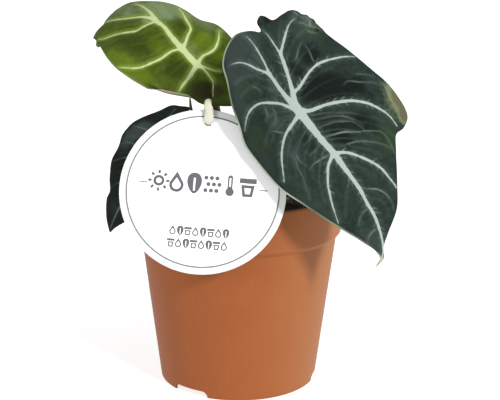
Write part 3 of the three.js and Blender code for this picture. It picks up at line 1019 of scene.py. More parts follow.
@dataclass
class LeafBlade:
    """One leaf blade: a thin closed skin with quilting, veins, ribs below and a wavy margin."""

    name: str
    node: str
    slot: str
    sheet: Sheet
    outline: tuple[Point2, ...]
    veins: dict[str, Vein]
    between: tuple[tuple[str, str, int, float], ...]
    face: LeafFinish
    back: LeafFinish
    # strong fine veins, and on the front leaf painted highlights on the frill's crinkle ridges
    strong_veins_and_highlights: tuple[tuple[float, tuple[Point2, ...]], ...] = ()
    spurs: tuple[Spurs, ...] = ()
    guides: dict[str, tuple[Point2, ...]] = field(default_factory=dict)
    # real stains on the front leaf, painted shade on the young leaf
    stain_and_shade_patches: tuple[Patch, ...] = ()
    # painted sheen: patches where the nap's grey sheen is laid into the colour
    painted_sheen_patches: tuple[Patch, ...] = ()
    shades: tuple[Patch, ...] = ()
    olives: tuple[Patch, ...] = ()
    pale_rims: tuple[Patch, ...] = ()
    dents: tuple[Patch, ...] = ()
    frills: tuple[Patch, ...] = ()
    fray: float = 0.0
    roll: Roll | None = None
    spacing: float = 0.6
    thickness: float = 0.45
    quilt: float = 1.0
    quilt_reach: float = 5.0
    pucker: float = 0.3
    furrow: float = 0.9
    swell: Point2 = (0.35, 13.0)
    bumps: Point2 = (0.12, 4.5)
    ripple: float = 0.7
    ripple_size: float = 9.0
    frill_size: float = 3.0
    round_vein: float = 0.12
    rib: float = 0.75
    web: float = 3.2
    seed: int = 1

    def grid(self) -> tuple[Array, Array, Array]:
        """Fills the outline with triangles.

        Returns:
            The edge's places, all flat places with the edge first, and the triangles.
        """
        edge = smooth_path(self.outline, self.spacing * 0.9, closed=True)
        crumpled = self.fray * np.clip(total(self.frills, edge), 0, 1)
        edge = edge + beside(edge) * (crumpled * lattice_noise(edge, 2.4, self.seed))[:, None]
        low = edge.min(axis=0)
        high = edge.max(axis=0)
        pitch = self.spacing * math.sqrt(0.75)
        rows = int((high[1] - low[1]) / pitch) + 1
        columns = int((high[0] - low[0]) / self.spacing) + 1
        column, row = np.meshgrid(np.arange(columns), np.arange(rows))
        x = low[0] + (column + 0.5 * (row % 2)) * self.spacing
        y = low[1] + row * pitch
        spots = np.column_stack([x.ravel(), y.ravel()])
        end = np.roll(edge, -1, axis=0)
        rise = end[:, 1] - edge[:, 1]
        slant = (end[:, 0] - edge[:, 0]) / np.where(np.abs(rise) < 1e-9, 1e-9, rise)
        spans = (edge[:, 1] > spots[:, 1:]) != (end[:, 1] > spots[:, 1:])
        left = spots[:, :1] < slant * (spots[:, 1:] - edge[:, 1]) + edge[:, 0]
        spots = spots[(spans & left).sum(axis=1) % 2 == 1]
        tree = search_tree(edge)
        clear = np.array([tree.find((a, b, 0))[2] for a, b in spots])
        flat = np.vstack([edge, spots[clear > self.spacing * 0.6]])
        border = [list(range(len(edge)))]
        made = geometry.delaunay_2d_cdt([Vector(p) for p in flat], [], border, 1, 1e-6)
        return edge, np.array([p[:] for p in made[0]]), np.array([list(f) for f in made[2]])

    def main_distance(self, flat: Array) -> Array:
        """Distance past the nearest main vein's edge, below zero inside it, webbed at forks."""
        webbed = np.zeros(len(flat))
        for vein in self.veins.values():
            nearest = np.full(len(flat), np.inf)
            for place, width in zip(*vein.line()):
                nearest = np.minimum(nearest, np.hypot(*(flat - place).T) - width)
            webbed += np.exp(-self.web * np.clip(nearest, -20, 40))
        return -np.log(np.maximum(webbed, 1e-30)) / self.web

    def fine_lines(self) -> list[Array]:
        """The finer veins: the strong ones with the painted highlights on the frill's crinkles, those
        between the main ones, and the spurs.
        """
        rng = np.random.default_rng(self.seed)
        lines = [
            drawn(smooth_path(path, VEIN_STEP), (0.24, FINE_END), (light * 0.85, light * 0.2), 0.3)
            for light, path in self.strong_veins_and_highlights
        ]
        steps = 60
        share = np.linspace(0, 1, steps)
        paths = {name: vein.path for name, vein in self.veins.items()} | self.guides
        for first, second, count, light in self.between:
            ends = []
            for name in (first, second):
                places = smooth_path(paths[name], VEIN_STEP)
                at = np.linspace(0, 1, len(places))
                ends.append(np.column_stack([np.interp(share, at, places[:, k]) for k in (0, 1)]))
            for i in range(count):
                mix = (i + 1 + rng.uniform(-0.35, 0.35)) / (count + 1)
                line = ends[0] * (1 - mix) + ends[1] * mix
                sway = rng.uniform(0.5, 1.6) * np.sin(share * rng.uniform(5, 12) + rng.uniform(0, 6))
                line = line + np.column_stack([sway, -sway]) * share[:, None]
                kept = line[: int(steps * rng.uniform(0.55, 1.0))]
                bright = light * rng.uniform(0.5, 1.5)
                lines.append(drawn(kept, (0.2, FINE_END), (bright, bright * 0.2)))
        for spurs, vein in itertools.product(self.spurs, self.veins.values()):
            lines += spurs.along(vein, rng)
        return lines

    def fine_field(self, flat: Array) -> tuple[Array, Array]:
        """Distance past the nearest fine vein's edge, and that vein's light."""
        spots = np.vstack(self.fine_lines())
        tree = search_tree(spots[:, :2])
        found = [tree.find((a, b, 0)) for a, b in flat]
        nearest = [f[1] for f in found]
        distance = np.array([f[2] for f in found]) - spots[nearest, 2]
        patchy = 0.85 + 0.4 * lattice_noise(flat, 5.0, self.seed + 4)
        return distance, np.clip(spots[nearest, 3] * patchy, 0, 1)

    @staticmethod
    def margin_distance(flat: Array, edge: Array) -> tuple[Array, Array]:
        """Distance to the outline, and the way inwards from its nearest place."""
        tree = search_tree(edge)
        found = [tree.find((a, b, 0)) for a, b in flat]
        margin = np.array([f[2] for f in found])
        margin[: len(edge)] = 0
        after = np.roll(edge, -1, axis=0)
        anticlockwise = np.sum(edge[:, 0] * after[:, 1] - edge[:, 1] * after[:, 0]) > 0
        inwards = beside(edge) * (-1 if anticlockwise else 1)
        return margin, inwards[[f[1] for f in found]]

    def relief(self, flat: Array, vein: Array, fine: Array, light: Array, margin: Array) -> Array:
        """Height above the sheet, from quilting, furrows, noise of several sizes, frills and dents.

        Args:
            flat: Places on the flat leaf.
            vein: Distance of each past the nearest main vein's edge.
            fine: Distance past the nearest fine vein's edge.
            light: That fine vein's light.
            margin: Distance to the outline.

        Returns:
            The height of each place.
        """
        inland = 1 - np.exp(-margin / 4)
        furrow = np.exp(-((np.maximum(fine, 0) / self.furrow) ** 2)) * (0.3 + 0.7 * light)
        lift = self.quilt * (1 - np.exp(-np.maximum(vein, 0) / self.quilt_reach)) * inland
        lift += self.pucker * (1 - furrow) * inland * ramp(0, 2, vein)
        lift += self.round_vein * ramp(0, -1.2, vein)
        waves = (
            (*self.swell, inland), (*self.bumps, ramp(0, 3, vein)),
            (self.ripple, self.ripple_size, np.exp(-margin / 6)),
            (total(self.frills, flat), self.frill_size, np.exp(-margin / 5)),
        )
        for i, (height, size, where) in enumerate(waves):
            lift += height * lattice_noise(flat, size, self.seed + i) * where
        return lift + total(self.dents, flat)

    def build(self) -> bpy.types.Object:
        """Makes the blade.

        Returns:
            The finished object.
        """
        edge, flat, triangles = self.grid()
        count = len(flat)
        rim = len(edge)
        vein = self.main_distance(flat)
        fine, light = self.fine_field(flat)
        margin, inwards = self.margin_distance(flat, edge)
        lift = self.relief(flat, vein, fine, light, margin)
        shown = flat.copy()
        slant = np.ones(count)
        if self.roll:
            near = ramp(1.0, 0.3, np.linalg.norm(flat - self.roll.at, axis=1) / self.roll.reach)
            past = np.maximum(self.roll.width - margin, 0) * near
            turn = past / self.roll.radius
            shown += inwards * (past - self.roll.radius * np.sin(turn))[:, None]
            lift += self.roll.radius * (1 - np.cos(turn))
            slant = np.cos(turn)
        skin = self.thickness * (0.45 + 0.55 * ramp(0, 3, margin))
        rib = self.rib * np.maximum(0.5 - vein, 0) ** 0.85
        top = self.sheet.place(shown, lift)
        tucked = shown + inwards * ((1 - np.abs(slant)) * 0.2)[:, None]
        below = self.sheet.place(tucked, lift - skin - rib)
        rolled = slant < 0.3
        if rolled.any():
            below[rolled] = self.sheet.place(shown[rolled], lift[rolled] + skin[rolled] * 0.8)
        faces = triangles.tolist() + (triangles[:, ::-1] + count).tolist()
        ring = [(i, (i + 1) % rim) for i in range(rim)]
        faces += [[b, a, a + count, b + count] for a, b in ring]
        finish_of_face = [0] * len(triangles) + [1] * len(triangles) + [0] * rim
        olives, pale_rims, *tones = (
            total(patches, flat)
            for patches in (self.olives, self.pale_rims, self.shades, self.painted_sheen_patches, self.stain_and_shade_patches)
        )
        columns = {
            "flat": (flat, np.zeros(count)), "lines": (vein, fine, margin), "tones": tones,
            "marks": (light, olives, pale_rims),
        }
        fields = {name: np.tile(np.column_stack(values), (2, 1)) for name, values in columns.items()}
        finishes = [self.face.material(), self.back.material()]
        points = np.vstack([top, below])
        piece = make_piece(self.name, points, faces, finishes, finish_of_face, fields)
        settle(piece, self.slot, self.node)
        return piece


FRONT_LEAF = LeafBlade(
    name="front_leaf",
    node="front_leaf_blade",
    slot="velvet_leaf",
    sheet=Sheet(
        seat=(30.4, -64, 168), facing=-86, rise=16, spin=27,
        tip_bend=0.12, base_bend=0.25, plus=(0, 0.25), minus=(14, 0.75),
    ),
    outline=(
        (-45.5, 2.5), (-48.5, -3), (-50.5, -10.5), (-47, -19), (-41, -24.5), (-32, -27), (-20, -31),
        (-8, -33), (3.5, -35), (15, -33), (32, -28.5), (44, -21.5), (57, -13.5), (66, -7.5), (76, -1),
        (83.5, 3), (88, 3), (91, -0.5), (88.5, 5), (83.5, 7.5), (77, 14), (68.5, 23), (58.5, 28.5),
        (43, 36), (34.5, 40.5), (33.5, 45.5), (30, 50.5), (24, 52), (12, 50.5), (0, 45.5), (-14.5, 39),
        (-28.5, 32.5), (-37, 30), (-43, 27), (-48, 23), (-48.5, 17), (-48, 11), (-51, 8.5), (-52.5, 6),
        (-50.5, 3),
    ),
    veins={
        "midrib": Vein(
            ((0, 0), (12, 2.4), (19, 3.8), (28, 6.2), (36, 7.5), (44.5, 9), (51.5, 10), (58.5, 10),
             (65.5, 10.5), (72.5, 10), (80, 8.5), (84, 7), (88, 4), (90.5, 0)),
            (4.6, 3.7, 3.3, 3.3, 2.4, 2.1, 1.8, 1.6, 1.3, 1.1, 0.7),
        ),
        "right_1": Vein(
            ((0, 0.5), (3, 5), (3.5, 9), (4, 13.5), (5, 18), (6.5, 22.5), (8.5, 27.5), (11.5, 32),
             (14.5, 35.5), (18.5, 38.5), (22.5, 41), (27, 42.5), (31, 43)),
            (2.6, 1.8, 1.7, 1.6, 1.5, 1.4, 1.2, 0.9, 0.6),
        ),
        "right_2": Vein(
            ((28, 6), (30.5, 12), (34, 16), (38, 19.5), (42, 22.5), (46.5, 25), (52.5, 26.5),
             (57.5, 27.5), (59, 27.5)), (2.0, 1.6, 1.4, 1.3, 1.2, 1.0, 0.8),
        ),
        "right_0": Vein(
            ((-9, 2.2), (-10, 6), (-12, 9.5), (-14.5, 14), (-16, 18), (-16.5, 22), (-16, 26),
             (-15, 30.5), (-14, 34), (-12.5, 37.5), (-11, 40)),
            (1.9, 1.5, 1.4, 1.4, 1.3, 1.1, 0.9, 0.5),
        ),
        "lobe_right": Vein(
            ((0, 0), (-6, 1), (-11, 2.3), (-15, 3.2), (-19, 4), (-24.5, 5), (-29.6, 5.7)),
            (3.6, 2.6, 2.0, 1.8, 1.7),
        ),
        "lobe_right_low": Vein(
            ((-29.6, 5.7), (-33.6, 5.4), (-37.3, 5.1), (-42, 4.6), (-46, 3.5)), (1.2, 0.9, 0.8, 0.6, 0.3)
        ),
        "lobe_right_high": Vein(
            ((-29.6, 5.7), (-33.1, 8.6), (-36.4, 11.6), (-39.3, 14.3), (-41.7, 17), (-43.2, 20),
             (-43.5, 22.5)), (1.4, 1.3, 1.3, 1.0, 0.7, 0.4),
        ),
        "lobe_left": Vein(
            ((0, 0), (-5.5, -1.5), (-9.5, -2.4), (-14, -3.2), (-19, -3.8), (-23.2, -4.4)),
            (3.6, 2.7, 2.2, 2.0, 1.8),
        ),
        "lobe_left_low": Vein(
            ((-23.2, -4.4), (-26.1, -6.6), (-28.6, -8.8), (-31.4, -10.5), (-33.8, -12.3),
             (-36.6, -15.3), (-38, -18.5), (-38.3, -21.8)), (1.4, 1.15, 1.1, 0.9, 0.7, 0.3),
        ),
        "lobe_left_high": Vein(
            ((-23.2, -4.4), (-28.2, -3.9), (-33.3, -3.8), (-37.6, -3.9), (-42.4, -4.3), (-45.8, -5.2),
             (-48, -6.5)), (1.4, 1.1, 0.9, 0.8, 0.6, 0.3),
        ),
        "left_1": Vein(
            ((0, 0), (-3.5, -3.5), (-7, -6.5), (-10, -11), (-12.5, -16), (-12.5, -20.5), (-11, -24.5),
             (-8.5, -27.5), (-4, -31)), (2.6, 1.6, 1.4, 1.3, 1.1, 0.9, 0.5),
        ),
        "left_2": Vein(
            ((2, 0), (5, -6), (8, -11.5), (12, -15.5), (18, -19.5), (24, -22), (30, -24.5)),
            (2.6, 1.7, 1.5, 1.3, 1.1, 0.9, 0.6),
        ),
        "left_3": Vein(
            ((28, 6), (32.5, 0.5), (36, -1.5), (41, -4), (46.5, -5.5), (52, -7), (57.5, -8),
             (61, -8.5)), (2.0, 1.5, 1.3, 1.2, 1.0, 0.8, 0.6),
        ),
    },
    guides={
        "tip_right": ((68, 10.5), (72, 13.5), (75.5, 14.5), (78, 13.5)),
        "tip_left": ((68, 10.5), (73, 6), (79, 3), (84, 3.5)),
    },
    between=(
        ("right_0", "right_1", 3, 0.06), ("right_1", "right_2", 5, 0.16),
        ("right_2", "tip_right", 3, 0.1), ("left_2", "left_3", 5, 0.1), ("left_3", "tip_left", 2, 0.1),
        ("left_1", "left_2", 3, 0.1), ("lobe_left_low", "left_1", 2, 0.1),
        ("lobe_left_low", "lobe_left_high", 1, 0.1), ("lobe_right_low", "lobe_right_high", 1, 0.1),
        ("lobe_right_high", "right_0", 2, 0.08),
    ),
    strong_veins_and_highlights=(
        (0.4, ((-0.4, 25.9), (-1.4, 29.8), (1.7, 35.5), (5.4, 42.4), (8.3, 44.6))),
        (0.4, ((-3, 35.3), (-1.2, 39.1), (1.2, 42.6), (3.5, 44.7))),
        (0.45, ((-17, 19.4), (-19.5, 19), (-23.9, 19.4), (-28, 19.1))),
        (0.4, ((-22.6, 10.3), (-24.7, 12.4), (-27.9, 15.4), (-30.1, 18.3))),
        (0.35, ((5, 2.5), (7, 9.4), (8.1, 12.8), (9.9, 16.4), (12.5, 19.6))),
        (0.42, ((7.5, 2), (10.1, 11.1), (11.9, 16.6), (15.3, 21.4), (19, 24.8), (22.4, 26.4))),
        (0.45, ((11.5, 2), (13.4, 10), (14, 14.2), (15.8, 17.9), (17.9, 22.1), (24.2, 26.1))),
        (0.72, ((17.5, 2.5), (19.5, 10.7), (20.6, 15.4), (23.2, 20.6), (26.7, 28.8), (29.9, 33.8),
               (35.1, 35.1), (42.6, 35))),
        (0.35, ((-22, -16), (-20, -13.6), (-16.9, -12.9))),
        (0.4, ((-10.6, -15.2), (-7.5, -15), (-5.1, -15.6), (-3, -17.6))),
        (0.4, ((-8.1, -11.7), (-5.5, -11.2), (-2, -12.2), (1.4, -14.4))),
        (0.45, ((7.6, -11.4), (5, -15), (2.6, -18.5))),
        (0.65, ((27.4, 4.8), (27.5, 2.6), (27.7, -2), (28.2, -6.1), (30, -9))),
        (0.4, ((20.3, 3.9), (21.1, 1.4), (22.6, -3.2), (23.3, -5.6))),
        (0.4, ((12.6, 2.4), (13.5, 1), (15.7, -1.6), (17.5, -5.7))),
        (0.5, ((18.4, -14.1), (22, -13.4), (26.1, -14.2), (30.8, -14), (34.4, -14.5), (39, -15.7))),
        (0.5, ((18.1, -11.9), (23.5, -11.5), (27.9, -9.2))),
        (0.65, ((50.6, 10.5), (52.5, 13.9), (54.5, 17.5), (58.7, 20.7), (64.5, 21.8), (68, 20.8))),
        (0.7, ((64.3, 10.1), (65.1, 12.1), (66.6, 14.1))),
        (0.6, ((60.6, 10.8), (61.2, 9.5), (61.9, 5.9), (64.1, 2.7), (67, 0.7))),
        (0.5, ((72.5, 9.6), (73.1, 6.2), (74.6, 2.8), (76.9, 1))),
        (0.45, ((26, 8), (28.4, 20.3), (32.3, 27.1), (35.3, 31), (39.3, 34.3))),
        # these lines about (-40, 25) are painted highlights on the frill's crinkle ridges, drawn as fine
        # veins
        (0.7, ((-47.5, 22.5), (-44.1, 24.2), (-41.5, 25.2))),
        (0.6, ((-40.7, 28.6), (-38.6, 28), (-36.6, 26.4), (-34.1, 28.3), (-30.6, 31.8))),
        (0.5, ((5.4, 45.8), (10.6, 47.1), (17.6, 46.8), (24.6, 46.5), (28.7, 45.6))),
        (0.4, ((-41, 22), (-38.5, 24), (-37, 25))), (0.3, ((-35, 23.5), (-32.5, 25.5), (-31, 28.5))),
        (0.4, ((-43.5, 25.5), (-41, 26.8), (-38, 26.8))),
    ),
    spurs=(Spurs(4.6, (1.0, 2.6), 0.36, (0.9, 0.12)), Spurs(2.3, (0.6, 2.6), 0.1, (0.2, 0.02))),
    face=VELVET_FACE,
    back=VELVET_BACK,
    stain_and_shade_patches=(
        Patch((19.5, 51), (17, 6), 0.75, 2), Patch((28.5, 50), (6.5, 5), 0.85, -30),
        Patch((19, 48), (19, 9), 0.35), Patch((-37, 27), (9, 4.5), 0.25, 30),
    ),
    # painted sheen of the nap
    painted_sheen_patches=(
        Patch((-36, -14), (20, 18), 0.6), Patch((-15, -6.5), (9, 4.5), 0.6, -10),
        Patch((-2, -14), (11, 6), 0.6, 10), Patch((19, -13), (11, 6), 0.5),
        Patch((-42, 24), (11, 6), 0.7, 30), Patch((80, 4), (14, 8), 0.55),
        Patch((-36, 22), (12, 10), 0.45), Patch((-39, 9), (9, 7), 0.25), Patch((-45, -4), (7, 12), 0.6),
        Patch((40, -18), (22, 8), 0.4, 18), Patch((-14, -27), (13, 8), 0.55),
        Patch((-45, -16), (9, 11), 0.5), Patch((-29, -25), (11, 7), 0.4),
        Patch((14, -29), (20, 5), 0.4, 8),
    ),
    shades=(
        Patch((-3.5, 18), (24, 11.5), 1.15, 70), Patch((-21, 19), (11, 9), 0.8),
        Patch((17, -3), (11, 5), 0.6), Patch((17, 25), (6, 8), 0.4), Patch((2, 34), (6, 12), 0.45, 20),
        Patch((-32.4, 28.5), (2.4, 1.8), 1.0), Patch((-49, 8), (3, 3), 0.9),
        Patch((15, 13), (19, 9), 0.68, 35), Patch((22, 28), (9, 9), 0.7),
        Patch((-19, 8.5), (12, 4.5), 0.7, 25), Patch((24, 12), (9, 7), 0.5, 30),
        Patch((10, 36), (9, 5), 0.6, 20), Patch((31, 18), (11, 6), 0.4, 40),
        Patch((30, 33), (8, 6), 0.4),
    ),
    olives=(
        Patch((-24, -21), (12, 7), 0.7), Patch((4, -26), (18, 7), 0.7, 5),
        Patch((32, 38), (13, 7), 0.6), Patch((-35, 24), (7, 6), 0.6, 20),
        Patch((55, -10), (16, 7), 0.45, 15), Patch((-30, 27), (9, 5), 0.6, 20),
        Patch((78, 3), (9, 6), 0.4), Patch((36, 33), (10, 8), 0.5),
    ),
    pale_rims=(
        Patch((16, -31), (48, 15), 1.6, 8), Patch((89, 1), (7, 6), 1.2),
        Patch((62, -9), (26, 10), 0.45, 33), Patch((-42, -20), (20, 17), 0.85, -30),
        Patch((-26, -30), (13, 8), 0.45, -20),
    ),
    dents=(
        Patch((20, 49), (18, 8), -2.2), Patch((8, -35), (28, 13), -3.2, 8),
        Patch((52, -18), (22, 14), 5.0, 30), Patch((-50.5, 6), (5, 4), 1.8),
        Patch((-41, 1.5), (9, 2.6), -1.2), Patch((90, 0), (5, 4), -1.0),
    ),
    frills=(Patch((-39, 26), (14, 9), 2.3, 30),),
    fray=0.9,
    spacing=0.52,
    pucker=0.32,
    seed=11,
)

YOUNG_LEAF = LeafBlade(
    name="young_leaf",
    node="young_leaf_blade",
    slot="young_leaf",
    sheet=Sheet(
        seat=(-23.3, -14, 184.1), facing=-95, rise=36, spin=-124,
        tip_bend=0.45, base_bend=0.4, plus=(2, 0.4), minus=(4, 0.5),
        curl_from=72, curl_radius=12, crease=4.0,
    ),
    outline=(
        (-23, -1), (-29, 1), (-33, 4.5), (-30, 7.5), (-24, 12), (-15.4, 17.6), (-4.4, 22.9),
        (6.8, 26.8), (19.5, 26.3), (29, 26), (40, 25), (52.5, 21.5), (64, 16.5), (72, 13.5), (80, 11.5),
        (85, 10), (87.5, 11.8), (89.5, 11.5), (90.5, 9), (92.3, 6), (93.3, 2), (91, -4), (85, -12),
        (75.5, -18), (60, -23.5), (46, -28), (33.5, -28), (20.5, -26.5), (10, -29.5), (-3, -27),
        (-14, -21.5), (-24, -15), (-31, -8.5), (-28.5, -3.5),
    ),
    veins={
        "midrib": Vein(
            ((0, 0), (8, -2), (13, -3.5), (18.5, -5), (26, -7.5), (33.5, -10.5), (39.5, -11.5),
             (43.5, -12.5)), (3.8, 3.3, 3.6, 3.0, 2.6, 2.5, 3.6),
        ),
        "midrib_tip": Vein(
            ((43.5, -12.5), (52, -10.5), (57, -7.5), (61.5, -5), (67, -2.5), (73, 0), (80, 3), (88, 6)),
            (3.0, 1.7, 1.4, 1.2, 1.1, 0.9, 0.6),
        ),
        "far_high": Vein(
            ((43.5, -12.5), (48.5, -15), (55.5, -17), (61.5, -18), (67.5, -18)),
            (3.0, 1.9, 1.4, 1.1, 0.7),
        ),
        "far_low": Vein(
            ((41, -11.5), (43.5, -7), (45, -3.5), (46, -0.5), (50, 2), (54.5, 4.5), (59.5, 8),
             (64, 11.5), (69, 13)), (2.0, 1.4, 1.4, 1.3, 1.2, 1.0, 0.6),
        ),
        "low": Vein(
            ((13.5, -3.5), (17, 0), (18.5, 3.5), (20, 8), (23, 12.5), (25.5, 16), (29, 19),
             (34.5, 21.5), (40, 23.5)), (2.2, 1.6, 1.6, 1.6, 1.4, 1.2, 0.7),
        ),
        "near_low": Vein(
            ((0, 0), (-0.5, 4), (-1, 8), (-1, 12), (-1, 15), (-1.5, 18)), (3.4, 2.4, 2.2, 1.8, 1.0)
        ),
        "high": Vein(
            ((13.5, -3.5), (15, -8.5), (17, -12.5), (19, -17.5), (23, -20), (27, -22), (32.5, -25),
             (37.5, -27)), (2.8, 1.8, 1.6, 1.4, 1.2, 1.0, 0.6),
        ),
        "near_high": Vein(
            ((0, 0), (1, -6.5), (-0.5, -10.5), (-1, -14.5), (0.5, -19), (2.5, -22.5), (5.5, -26.5)),
            (2.8, 1.9, 1.8, 1.7, 1.4, 1.0, 0.6),
        ),
        "lobe_high": Vein(((0, 0), (-4.5, -1.5), (-8.5, -2.5), (-12.5, -4.5)), (2.2, 1.1, 0.9, 0.5)),
        "lobe_low": Vein(
            ((0, 0), (-5, 0), (-10, 1.5), (-13.5, 3), (-16, 6.5), (-19, 10)), (2.2, 1.2, 1.1, 0.9, 0.5)
        ),
    },
    between=(
        ("near_low", "low", 2, 0.2), ("low", "far_low", 3, 0.25), ("near_high", "high", 2, 0.2),
        ("high", "far_high", 2, 0.2), ("far_high", "midrib_tip", 1, 0.2),
        ("midrib_tip", "far_low", 1, 0.2), ("lobe_low", "near_low", 1, 0.2),
    ),
    spurs=(Spurs(6.0, (0.6, 1.6), 0.2, (0.45, 0.1)),),
    face=YOUNG_FACE,
    back=YOUNG_BACK,
    # painted shade: dark brown by the folded basal lobe, under the rolled margin and at the curled tip
    stain_and_shade_patches=(
        Patch((-14, 9), (14, 8.5), 0.9, 30), Patch((-17, -3), (8, 6), 0.3),
        Patch((3, 25), (20, 3.0), 0.8, -3), Patch((80, 9), (6, 5), 0.55),
    ),
    # painted sheen, greyest along the upper edge
    painted_sheen_patches=(
        Patch((66, -13), (30, 16), 0.45, 12), Patch((44, -22), (22, 14), 0.85),
        Patch((20, -27), (28, 9), 0.45), Patch((82, 4), (13, 14), 0.6),
        Patch((10, -6), (15, 6), 0.3, -18), Patch((45, -11), (8, 6), 0.8),
    ),
    shades=(
        Patch((42, 7), (26, 10), 0.7, -5), Patch((8.4, 9.2), (9, 9), 1.15),
        Patch((24, -17), (8, 7), 0.6), Patch((-13, -6), (8, 6), 0.6),
    ),
    olives=(
        Patch((36, 22), (36, 10), 0.95, -3), Patch((8, -14), (10, 12), 0.65),
        Patch((-9, -11), (9, 9), 0.6), Patch((26, 3), (11, 8), 0.4), Patch((60, 8), (16, 6), 0.15),
    ),
    pale_rims=(Patch((38, 26), (52, 10), 0.8),),
    roll=Roll((-0.5, 22), 22.5, 4.0, 1.3),
    quilt=1.3,
    quilt_reach=4.0,
    pucker=0.15,
    ripple=0.5,
    seed=23,
)

REAR_LEAF = LeafBlade(
    name="rear_leaf",
    node="rear_leaf_blade",
    slot="velvet_leaf",
    sheet=Sheet(
        seat=(-41, -32, 146.2), facing=-112, rise=30, spin=-32,
        tip_bend=0.55, base_bend=0.5, plus=(-8, 0.4), minus=(4, 0.6),
    ),
    outline=(
        (-18, 1), (-22.5, -1.5), (-20, -7), (-17, -12), (-11, -15), (-1, -22), (6.5, -26), (13, -26),
        (19, -22.5), (29, -20.5), (37, -14.5), (42, -9.5), (47, -9), (53, -6), (59, -1), (62, 2.5),
        (58, 4.5), (52, 8), (43, 14), (33, 20), (22, 25), (10, 27.5), (-2, 24.5), (-12, 18.5),
        (-20, 11), (-22.5, 5),
    ),
    veins={
        "midrib": Vein(((0, 0), (16, 0.2), (33, 1.2), (47, 1.9), (61, 2)), (2.4, 1.8, 1.4, 1.0, 0.5)),
        "left_1": Vein(((0, 0), (1.5, -7), (2, -12.5), (4, -19), (5.5, -24)), (1.4, 0.9, 0.8, 0.4)),
        "left_2": Vein(((10, 0), (11, -6), (12.5, -12), (14, -17), (17.5, -21.5)), (1.3, 0.8, 0.7, 0.4)),
        "left_3": Vein(
            ((17, 0.3), (19, -6), (21, -12), (24.5, -15.5), (28.5, -19)), (1.2, 0.8, 0.7, 0.4)
        ),
        "left_4": Vein(((30, 1), (33, -4), (37, -8.5), (41, -10)), (1.0, 0.7, 0.5, 0.3)),
        "right_1": Vein(((0, 0), (2, 8), (5, 16), (9, 22), (13, 26)), (1.4, 1.0, 0.8, 0.4)),
        "right_2": Vein(((14, 0.2), (17, 7), (21, 13), (26, 18), (31, 20)), (1.3, 0.9, 0.7, 0.4)),
        "right_3": Vein(((29, 1), (32, 6), (37, 10.5), (43, 12.5)), (1.1, 0.8, 0.6, 0.3)),
        "lobe_left": Vein(((0, 0), (-6, -4), (-12, -7), (-18, -8)), (1.5, 1.0, 0.7, 0.4)),
        "lobe_right": Vein(((0, 0), (-7, 4), (-12, 9), (-17, 12)), (1.5, 1.0, 0.7, 0.4)),
    },
    between=(
        ("left_1", "left_2", 1, 0.3), ("left_2", "left_3", 1, 0.3), ("left_3", "left_4", 2, 0.3),
        ("right_1", "right_2", 2, 0.3), ("right_2", "right_3", 2, 0.3), ("lobe_left", "left_1", 1, 0.3),
        ("lobe_right", "right_1", 2, 0.3),
    ),
    spurs=(Spurs(3.6, (0.6, 2.0), 0.2, (0.8, 0.2)),),
    face=REAR_FACE_SHADED,
    back=VELVET_BACK,
    # painted sheen of the nap
    painted_sheen_patches=(
        Patch((10, -18), (14, 9), 0.8), Patch((2, -12), (8, 9), 0.8), Patch((45, 0), (12, 8), 0.2),
    ),
    quilt=0.8,
    quilt_reach=3.5,
    seed=37,
)


# ---------------------------------------------------------------- stalks and sheaths


ROOT_Z = 109.3


@dataclass(frozen=True)
class Stalk:
    """A leaf stalk: flared at the crown, grooved above, and spreading into the blade's ribs."""

    name: str
    node: str
    radius: float
    points: tuple[Point3, ...]
    sheet: Sheet
    seat_depth: float = 8.0
    join_depth: float = 1.0
    sides: int = 24
    step: float = 0.8
    foot_flare: float = 1.7
    foot_length: float = 13.0
    head_flare: float = 1.25
    head_length: float = 2.5
    taper: Point2 = (1.12, 0.92)
    lumps: Point2 = (0.025, 7.0)
    groove: float = 0.2
    groove_reach: float = 0.45
    ribs: Point2 = (0.012, 9)

    def build(self, finish: bpy.types.Material) -> None:
        """Makes the stalk.

        Args:
            finish: The skin's material.
        """
        ends = np.array([-self.seat_depth, -self.join_depth])
        knots = [(x, y, ROOT_Z + z) for x, y, z in self.points]
        path = smooth_path([*knots, *self.sheet.place(np.zeros((2, 2)), ends)], self.step)
        run = np.linspace(0, 1, len(path))
        length = self.step * len(path)
        foot = 1 + (self.foot_flare - 1) * np.exp(-run * length / (self.foot_length / 3))
        head = 1 + (self.head_flare - 1) * np.exp(-(1 - run) * length / self.head_length)
        taper = np.interp(run, [0, 1], self.taper)
        lump, lump_size = self.lumps
        radius = self.radius * taper * foot * head * (1 + lump * lattice_noise(path, lump_size, 5))
        angle = angles(self.sides)
        away = (angle + math.pi / 2) % FULL_TURN - math.pi
        groove = self.groove * np.exp(-((away / self.groove_reach) ** 2))
        rib, rib_count = self.ribs
        round_about = 1 - groove + rib * np.cos(rib_count * angle)
        points = carried(path, round_sections(radius[:, None] * round_about))
        faces = tube_faces(len(path), self.sides)
        settle(make_piece(self.name, points, faces, [finish], sharp_deg=50), "stalk", self.node)


